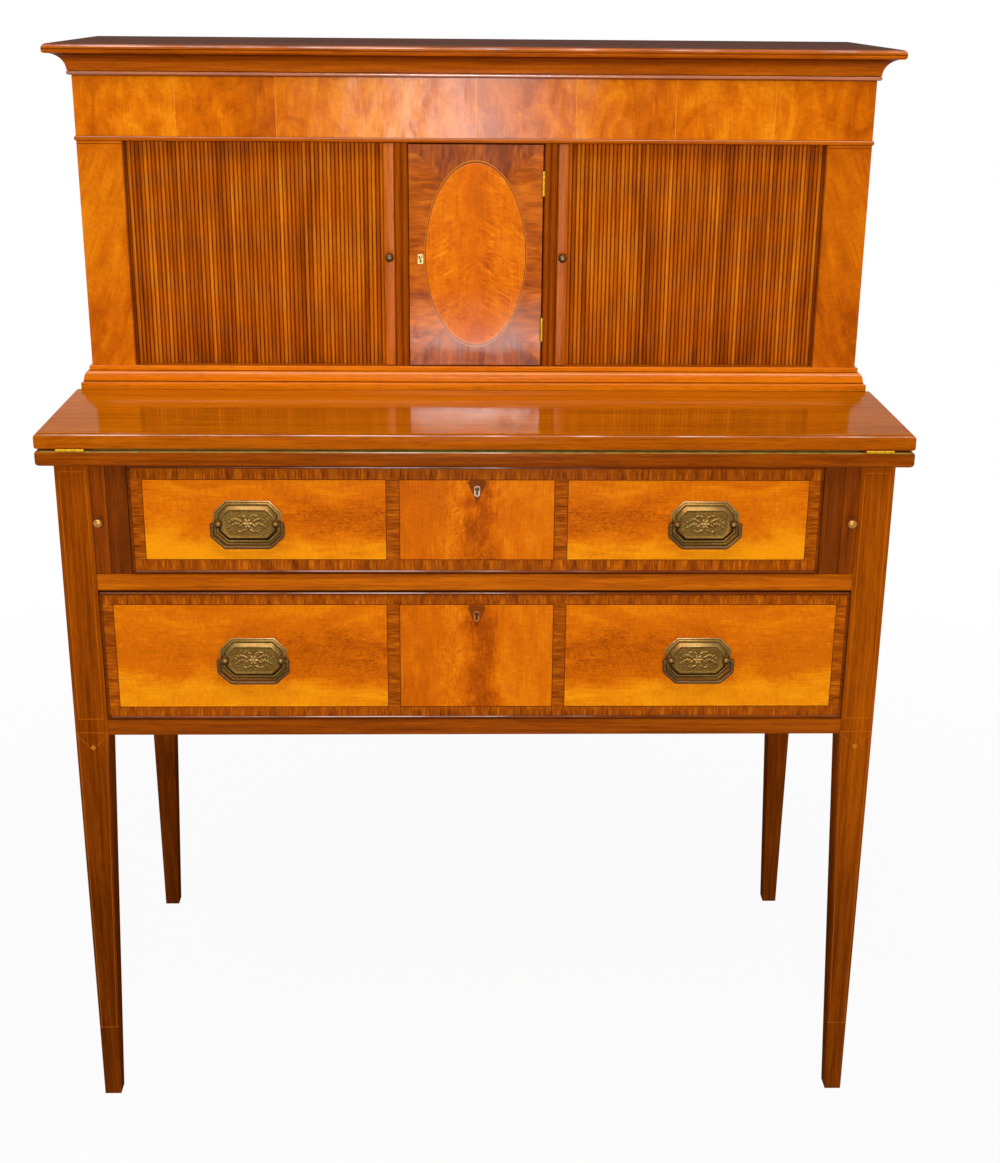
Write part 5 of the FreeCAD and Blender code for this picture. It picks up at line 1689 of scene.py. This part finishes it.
@dataclass
class Drawer:
    """One long drawer: veneered front, cock bead, pale box, locks and two pulls."""

    tier: Tier
    core: float
    low: float
    high: float
    band: float
    pull: float
    key: float
    side_start: float
    centre: float
    figure: float
    wander: float

    @property
    def body(self) -> str:
        """Body that the drawer moves with."""
        return f"{self.tier.value}_drawer"

    def dress(self, box: Material, bead: Material, lock: Material) -> None:
        """Finish the solids of the drawer.

        Args:
            box: finish of the sides, the back and the bottom.
            bead: finish of the cock bead.
            lock: finish of the lock.
        """
        veneer = DrawerVeneer(self.tier, self.core - self.band, self.low + self.band, self.high - self.band,
                              self.centre, self.side_start, self.key, self.figure, self.wander)
        finishes = {"front": veneer.material(), "cock_bead": bead, "sides": box, "back": box, "bottom": box,
                    "lock": lock}
        for part, material in finishes.items():
            dress_node(f"{self.body}_{part}", material)

    def liner(self, material: Material) -> None:
        """Thin pill-shaped plate round the keyhole: a ring between the keyhole's outline and a rounded slot.

        The inner ring is a circle with a slot below it; the outer one is a circle pulled apart upwards and
        downwards.

        Args:
            material: its finish.
        """
        turn = np.radians(np.linspace(-62, 242, 30))
        slot = [(-SLOT_HALF, -SLOT_FOOT), (SLOT_HALF, -SLOT_FOOT)]
        inner = np.concatenate([LINER_HOLE * np.stack([np.cos(turn), np.sin(turn)], 1), slot])
        angle = np.concatenate([turn, np.radians([258, 282])])
        outer = LINER_RIM * np.stack([np.cos(angle), np.sin(angle)], 1)
        outer[:, 1] += np.where(outer[:, 1] > 0, RIM_UP, -RIM_DOWN)
        front, sunk = DRAWER_FACE - LINER_PROUD * MM, DRAWER_FACE + LINER_SUNK * MM
        rings = ((inner, sunk), (inner, front), (outer, front), (outer, sunk), (inner, sunk))
        rows = [np.stack([r[:, 0] * MM, np.full(len(r), y), r[:, 1] * MM + self.key], axis=-1) for r, y in rings]
        surface = Surface()
        surface.grid(np.stack(rows), around=True)
        set_down(surface.build(f"{self.body}_key_liner"), self.body, "brass", material)

    def build(self, plate: Material, bail: Material, liner: Material) -> None:
        """Make both pulls and the keyhole liner.

        Args:
            plate: finish of the plates and posts.
            bail: finish of the bails.
            liner: finish of the liner.
        """
        surface = Surface()
        for word, side in SIDES:
            pull = Pull(self.tier, word, side, self.pull)
            pull.plate(surface)
            pull.spray(surface)
            pull.posts(surface)
            pull.build_bail(bail)
        piece = surface.build(f"{self.body}_plates", sharp=38)
        set_down(piece, self.body, "brass", plate, f"{self.body}_pulls")
        self.liner(liner)


@dataclass
class Baize:
    """Cloth lining glued into the recess of a leaf."""

    node: str
    body: str
    leaf: str
    facing: int
    thickness: float = 0.9 * MM
    sunk: float = 0.08 * MM
    swell: float = 0.03 * MM

    def build(self, material: Material) -> None:
        """Lay a level grid over the recess with a slight swell.

        The height of the swell is the product of two slow sines, a few hundredths of a millimetre.

        Args:
            material: its finish.
        """
        low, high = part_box(self.node)
        wide, long = high.x - low.x, high.y - low.y
        u, v = np.meshgrid(np.linspace(0, 1, 161), np.linspace(0, 1, 34))
        level = high.z - self.sunk if self.facing > 0 else low.z + self.sunk
        height = level + self.swell * np.sin(u * 61) * np.sin(v * 23)
        points = np.stack([low.x + wide * u, low.y + long * v, height], axis=-1)
        surface = Surface()
        surface.grid(points, laid=np.stack([wide * u, long * v], axis=-1), flip=self.facing < 0)
        piece = surface.build(f"{self.leaf}_baize")
        skin = piece.modifiers.new("cloth", "SOLIDIFY")
        skin.thickness = self.thickness
        skin.offset = -1
        set_down(piece, self.body, "baize", material, self.node)


@dataclass
class Case:
    """Boards of the lower and the upper case, the leaves, the door and the hinges."""

    boards: dict[str, Straight] = field(default_factory=lambda: {
        "case_sides": Straight("side_mahogany", RAIL_TONES, Grain.DEEP, SATIN),
        "case_back": Straight("back_pine", PINE_TONES, Grain.ACROSS, DULL),
        "bottom_rail": Straight("bottom_rail_mahogany", DARK_TONES, Grain.ACROSS),
        "middle_rail": Straight("middle_rail_mahogany", RAIL_TONES, Grain.ACROSS, gap_shade=638 * MM),
        # Painted shade: the partitions take darker tones for the shadow in their recess.
        "loper_partitions": Straight("partition_mahogany", PAINTED_SHADE_TONES, Grain.UPRIGHT),
        "drawer_runners": Straight("runner_pine", PINE_TONES, Grain.DEEP, DULL),
        "loper_left": Straight("loper_left_mahogany", LOPER_TONES, Grain.UPRIGHT),
        "loper_right": Straight("loper_right_mahogany", LOPER_TONES, Grain.UPRIGHT),
        "upper_floor": Straight("floor_mahogany", RAIL_TONES, Grain.ACROSS, DULL),
        "head_board": Straight("head_pine", PINE_TONES, Grain.ACROSS, DULL),
        "plinth_rail": Straight("plinth_mahogany", RAIL_TONES, Grain.ACROSS),
        "upper_sides": Straight("upper_side_mahogany", RAIL_TONES, Grain.UPRIGHT, SATIN),
        "upper_back": Straight("upper_back_pine", STAIN_TONES, Grain.ACROSS, DULL),
        "door_partitions": Straight("upright_mahogany", DARK_TONES, Grain.UPRIGHT),
        "pigeonholes": Straight("pigeonhole_mahogany", RAIL_TONES, Grain.DEEP, DULL),
        "lead_strip_left": Straight("lead_left_mahogany", RAIL_TONES, Grain.UPRIGHT, SHINE),
        "lead_strip_right": Straight("lead_right_mahogany", RAIL_TONES, Grain.UPRIGHT, SHINE),
    })
    bed: Arris = Arris("bed_mahogany", DARK_TONES, LEAF_FRONT, 1.3 * MM, (-0.03, 0.16), fray=793.9 * MM)
    flap: Leaf = Leaf(top=814.1 * MM, back=-31 * MM, front=LEAF_FRONT)
    cornice: CorniceBoard = CorniceBoard(top=1190 * MM, groove=1184.6 * MM)
    frieze: FriezeVeneer = FriezeVeneer(leaf=109.5 * MM, offset=438 * MM, high=1157 * MM)
    stiles: StileVeneer = StileVeneer(inner=387.5 * MM, high=1085.5 * MM)
    door: DoorVeneer = DoorVeneer(-0.4 * MM, 965.5 * MM, half_width=56 * MM, half_height=101.5 * MM)

    def dress(self, brass: Material, lock: Material) -> None:
        """Finish every board, veneer and hinge that keeps its own solid.

        Args:
            brass: finish of the hinges.
            lock: finish of the door's lock.
        """
        finishes = {**self.boards, "writing_bed": self.bed, "flap": self.flap, "cornice_board": self.cornice,
                    "frieze": self.frieze, "stiles": self.stiles, "door": self.door}
        for node, finish in finishes.items():
            dress_node(node, finish.material())
        for end, strung in (("front", True), ("back", False)):
            material = LegInlay(f"{end}_leg_mahogany", strung).material()
            for word, _ in SIDES:
                dress_node(f"leg_{end}_{word}", material)
        for hinge in ("flap_hinge", "door_hinge"):
            for half in ("fixed", "moving"):
                dress_node(f"{hinge}_{half}", brass)
        dress_node("door_lock", lock)


def hang(name: str, data: object, turn: tuple[np.ndarray, ...], spot: Spot) -> Piece:
    """Place a lamp or a camera.

    Args:
        name: its name.
        data: Blender's lamp or camera.
        turn: its right, its up and its back.
        spot: where it hangs.

    Returns:
        The object.
    """
    holder = bpy.data.objects.new(name, data)
    columns = np.stack([*turn, np.array(spot)], axis=1)
    holder.matrix_world = Matrix([*columns.tolist(), [0, 0, 0, 1]])
    bpy.context.scene.collection.objects.link(holder)
    return holder


@dataclass(frozen=True)
class Lamp:
    """One soft rectangular lamp."""

    name: str
    spot: Spot
    aim: Spot
    size: tuple[float, float]
    power: float

    def build(self) -> None:
        """Hang it so that it looks at its aim."""
        light = bpy.data.lights.new(self.name, "AREA")
        light.shape = "RECTANGLE"
        light.size, light.size_y = self.size
        light.energy = self.power
        back = np.array(self.spot) - np.array(self.aim)
        back /= np.linalg.norm(back)
        right = np.cross([0, 0, 1], back)
        right /= np.linalg.norm(right)
        hang(self.name, light, (right, np.cross(back, right), back), self.spot)


@dataclass
class Studio:
    """Pale floor, soft lamps and the camera of the photograph."""

    spot: Spot = (-0.0190, -1.9247, 1.2512)
    pitch: float = 0.3399
    yaw: float = 0.0258
    roll: float = 0.0088
    focal: float = 1683.9
    long_side: float = 1163.0
    sensor: float = 36
    level: float = 0.2
    floor_half: float = 30.0
    floor_grey: float = 0.9
    lamps: tuple[Lamp, ...] = (
        Lamp("top", (-0.2, -1.35, 2.9), (0, -0.1, 0.8), (3.0, 0.9), 33),
        Lamp("front", (0.05, -3.0, 0.66), (0, 0, 0.9), (0.42, 1.08), 17.5),
        Lamp("brow", (0.0, -3.0, 1.61), (0, 0, 0.85), (0.5, 0.2), 22),
        Lamp("side", (-1.5, -2.9, 1.6), (0, 0, 0.7), (1.2, 1.2), 4))

    def camera(self) -> None:
        """Right, up and forward directions from pitch, yaw and roll; the lens from the focal length in pixels."""
        cp, sp, cy, sy = math.cos(self.pitch), math.sin(self.pitch), math.cos(self.yaw), math.sin(self.yaw)
        ahead = np.array([sy * cp, cy * cp, -sp])
        right = np.array([cy, -sy, 0.0])
        up = np.cross(right, ahead)
        turned = math.cos(self.roll) * right + math.sin(self.roll) * up
        upright = -math.sin(self.roll) * right + math.cos(self.roll) * up
        lens = bpy.data.cameras.new("camera")
        lens.sensor_width = self.sensor
        lens.lens = self.focal * self.sensor / self.long_side
        bpy.context.scene.camera = hang("camera", lens, (turned, upright, -ahead), self.spot)

    def seen(self, g: Graph) -> Socket:
        """1 for what the camera, a reflection or glass sees, 0 for what only lights the desk."""
        path = g.node("ShaderNodeLightPath")
        return g.most(*(path.outputs[f"Is {ray} Ray"] for ray in ("Camera", "Glossy", "Transmission")))

    def world(self) -> None:
        """White where it is seen and a plain level where it lights."""
        g = Graph("studio", "worlds")
        lights = [g.named("ShaderNodeBackground", Color=(1, 1, 1, 1), Strength=strength).outputs[0]
                  for strength in (self.level, 1.0)]
        g.call("ShaderNodeOutputWorld", g.call("ShaderNodeMixShader", (self.seen(g), *lights)).outputs)
        bpy.context.scene.world = g.owner

    def floor(self) -> None:
        """A large white floor that keeps the shadow of the desk."""
        surface = Surface()
        u, v = np.meshgrid(*2 * [np.linspace(-self.floor_half, self.floor_half, 3)])
        surface.grid(np.stack([u, v, 0 * u], axis=-1))
        piece = surface.build("floor")
        g = Graph("floor_paint")
        matt = g.named("ShaderNodeBsdfDiffuse", Color=(*3 * [self.floor_grey], 1)).outputs[0]
        glow = g.node("ShaderNodeEmission").outputs[0]
        reach = g.call("ShaderNodeVectorMath", (g.place(),), operation="LENGTH").outputs["Value"]
        share = g.times(self.seen(g), g.ease(reach, 0.5, 2.0, 0.94, 1.0))
        g.call("ShaderNodeOutputMaterial", g.call("ShaderNodeMixShader", (share, matt, glow)).outputs)
        dress(piece, g.owner)

    def build(self) -> None:
        """Set the stage."""
        self.camera()
        self.floor()
        self.world()
        for lamp in self.lamps:
            lamp.build()
        bpy.context.scene.view_settings.view_transform = "Standard"


def even_shading() -> bpy.types.NodeTree:
    """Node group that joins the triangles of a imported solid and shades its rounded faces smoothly.

    Returns:
        A group that merges points, then makes smooth all faces whose edges turn by less than a limit.
    """
    tree = bpy.data.node_groups.new("even_shading", "GeometryNodeTree")
    for way in ("INPUT", "OUTPUT"):
        tree.interface.new_socket("Geometry", in_out=way, socket_type="NodeSocketGeometry")
    kinds = ("NodeGroupInput", "GeometryNodeMergeByDistance", "GeometryNodeSetMeshNormal",
             "GeometryNodeSetShadeSmooth", "GeometryNodeSetShadeSmooth", "NodeGroupOutput")
    steps = [tree.nodes.new(kind) for kind in kinds]
    for before, after in zip(steps, steps[1:]):
        tree.links.new(before.outputs[0], after.inputs[0])
    _, merge, clear, _, edges, _ = steps
    merge.inputs["Distance"].default_value = 1e-6
    clear.mode = "SHARPNESS"
    edges.domain = "EDGE"
    angle = tree.nodes.new("GeometryNodeInputMeshEdgeAngle")
    turn = tree.nodes.new("FunctionNodeCompare")
    turn.data_type = "FLOAT"
    turn.operation = "LESS_EQUAL"
    turn.inputs["B"].default_value = SMOOTH_TURN
    tree.links.new(angle.outputs["Unsigned Angle"], turn.inputs["A"])
    tree.links.new(turn.outputs[0], edges.inputs["Shade Smooth"])
    return tree


def soften() -> None:
    """Shade every shown solid evenly, and take the sharpness off the edges of the plain boards."""
    group = even_shading()
    for name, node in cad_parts.items():
        if node.hide_render:
            continue
        node.modifiers.new("even_shading", "NODES").node_group = group
        if name in EASED_EDGES:
            bevel = node.modifiers.new("edge", "BEVEL")
            bevel.width = EASED_EDGES[name] * MM
            bevel.segments = 2
            bevel.limit_method = "ANGLE"
            bevel.angle_limit = SHARP_TURN


def main() -> None:
    """Build the pieces in order, dress the solids and set the stage."""
    logging.basicConfig(level=logging.INFO, format="%(message)s")
    hinge_brass = Brass("hinge_brass", (208, 160, 38), (158, 112, 22), 0.26).material()
    plate_brass = Relief().material()
    bail_brass = Brass("bail_brass", (112, 80, 46), (66, 45, 24), 0.32).material()
    lock_brass = Brass("lock_brass", (196, 172, 116), (138, 110, 66), 0.34).material()
    liners = {Tier.UPPER: Brass("liner_metal", (176, 150, 128), (132, 104, 84), 0.36).material(),
              Tier.LOWER: Brass("worn_liner", (186, 112, 64), (104, 52, 20), 0.44).material()}
    pine = Straight("drawer_pine", PINE_TONES, Grain.DEEP, DULL).material()
    bead = Arris("cock_bead_mahogany", COCK_BEAD_TONES, front=DRAWER_FACE - 1.6 * MM, reach=1.5 * MM,
                 bright=(-0.1, 0.3), glint=775 * MM).material()
    Case().dress(hinge_brass, lock_brass)
    Mouldings().build()
    for word, side in SIDES:
        Tambour(word, side).build()
    Knobs().build()
    drawers = (
        Drawer(Tier.UPPER, core=363 * MM, low=661.5 * MM, high=774 * MM, band=12 * MM, pull=714.75 * MM,
               key=752 * MM, side_start=96 * MM, centre=82 * MM, figure=1.7, wander=3.1),
        Drawer(Tier.LOWER, core=401 * MM, low=492 * MM, high=633.5 * MM, band=11 * MM, pull=559.75 * MM,
               key=611.5 * MM, side_start=96.5 * MM, centre=83 * MM, figure=4.2, wander=5.3))
    for drawer in drawers:
        drawer.dress(pine, bead, lock_brass)
        drawer.build(plate_brass, bail_brass, liners[drawer.tier])
    baize = Cloth("green_baize").material()
    Baize("bed_lining", "desk", "writing_bed", 1).build(baize)
    Baize("flap_lining", "flap", "flap", -1).build(baize)
    soften()
    Studio().build()


if __name__ == "__main__":
    main()
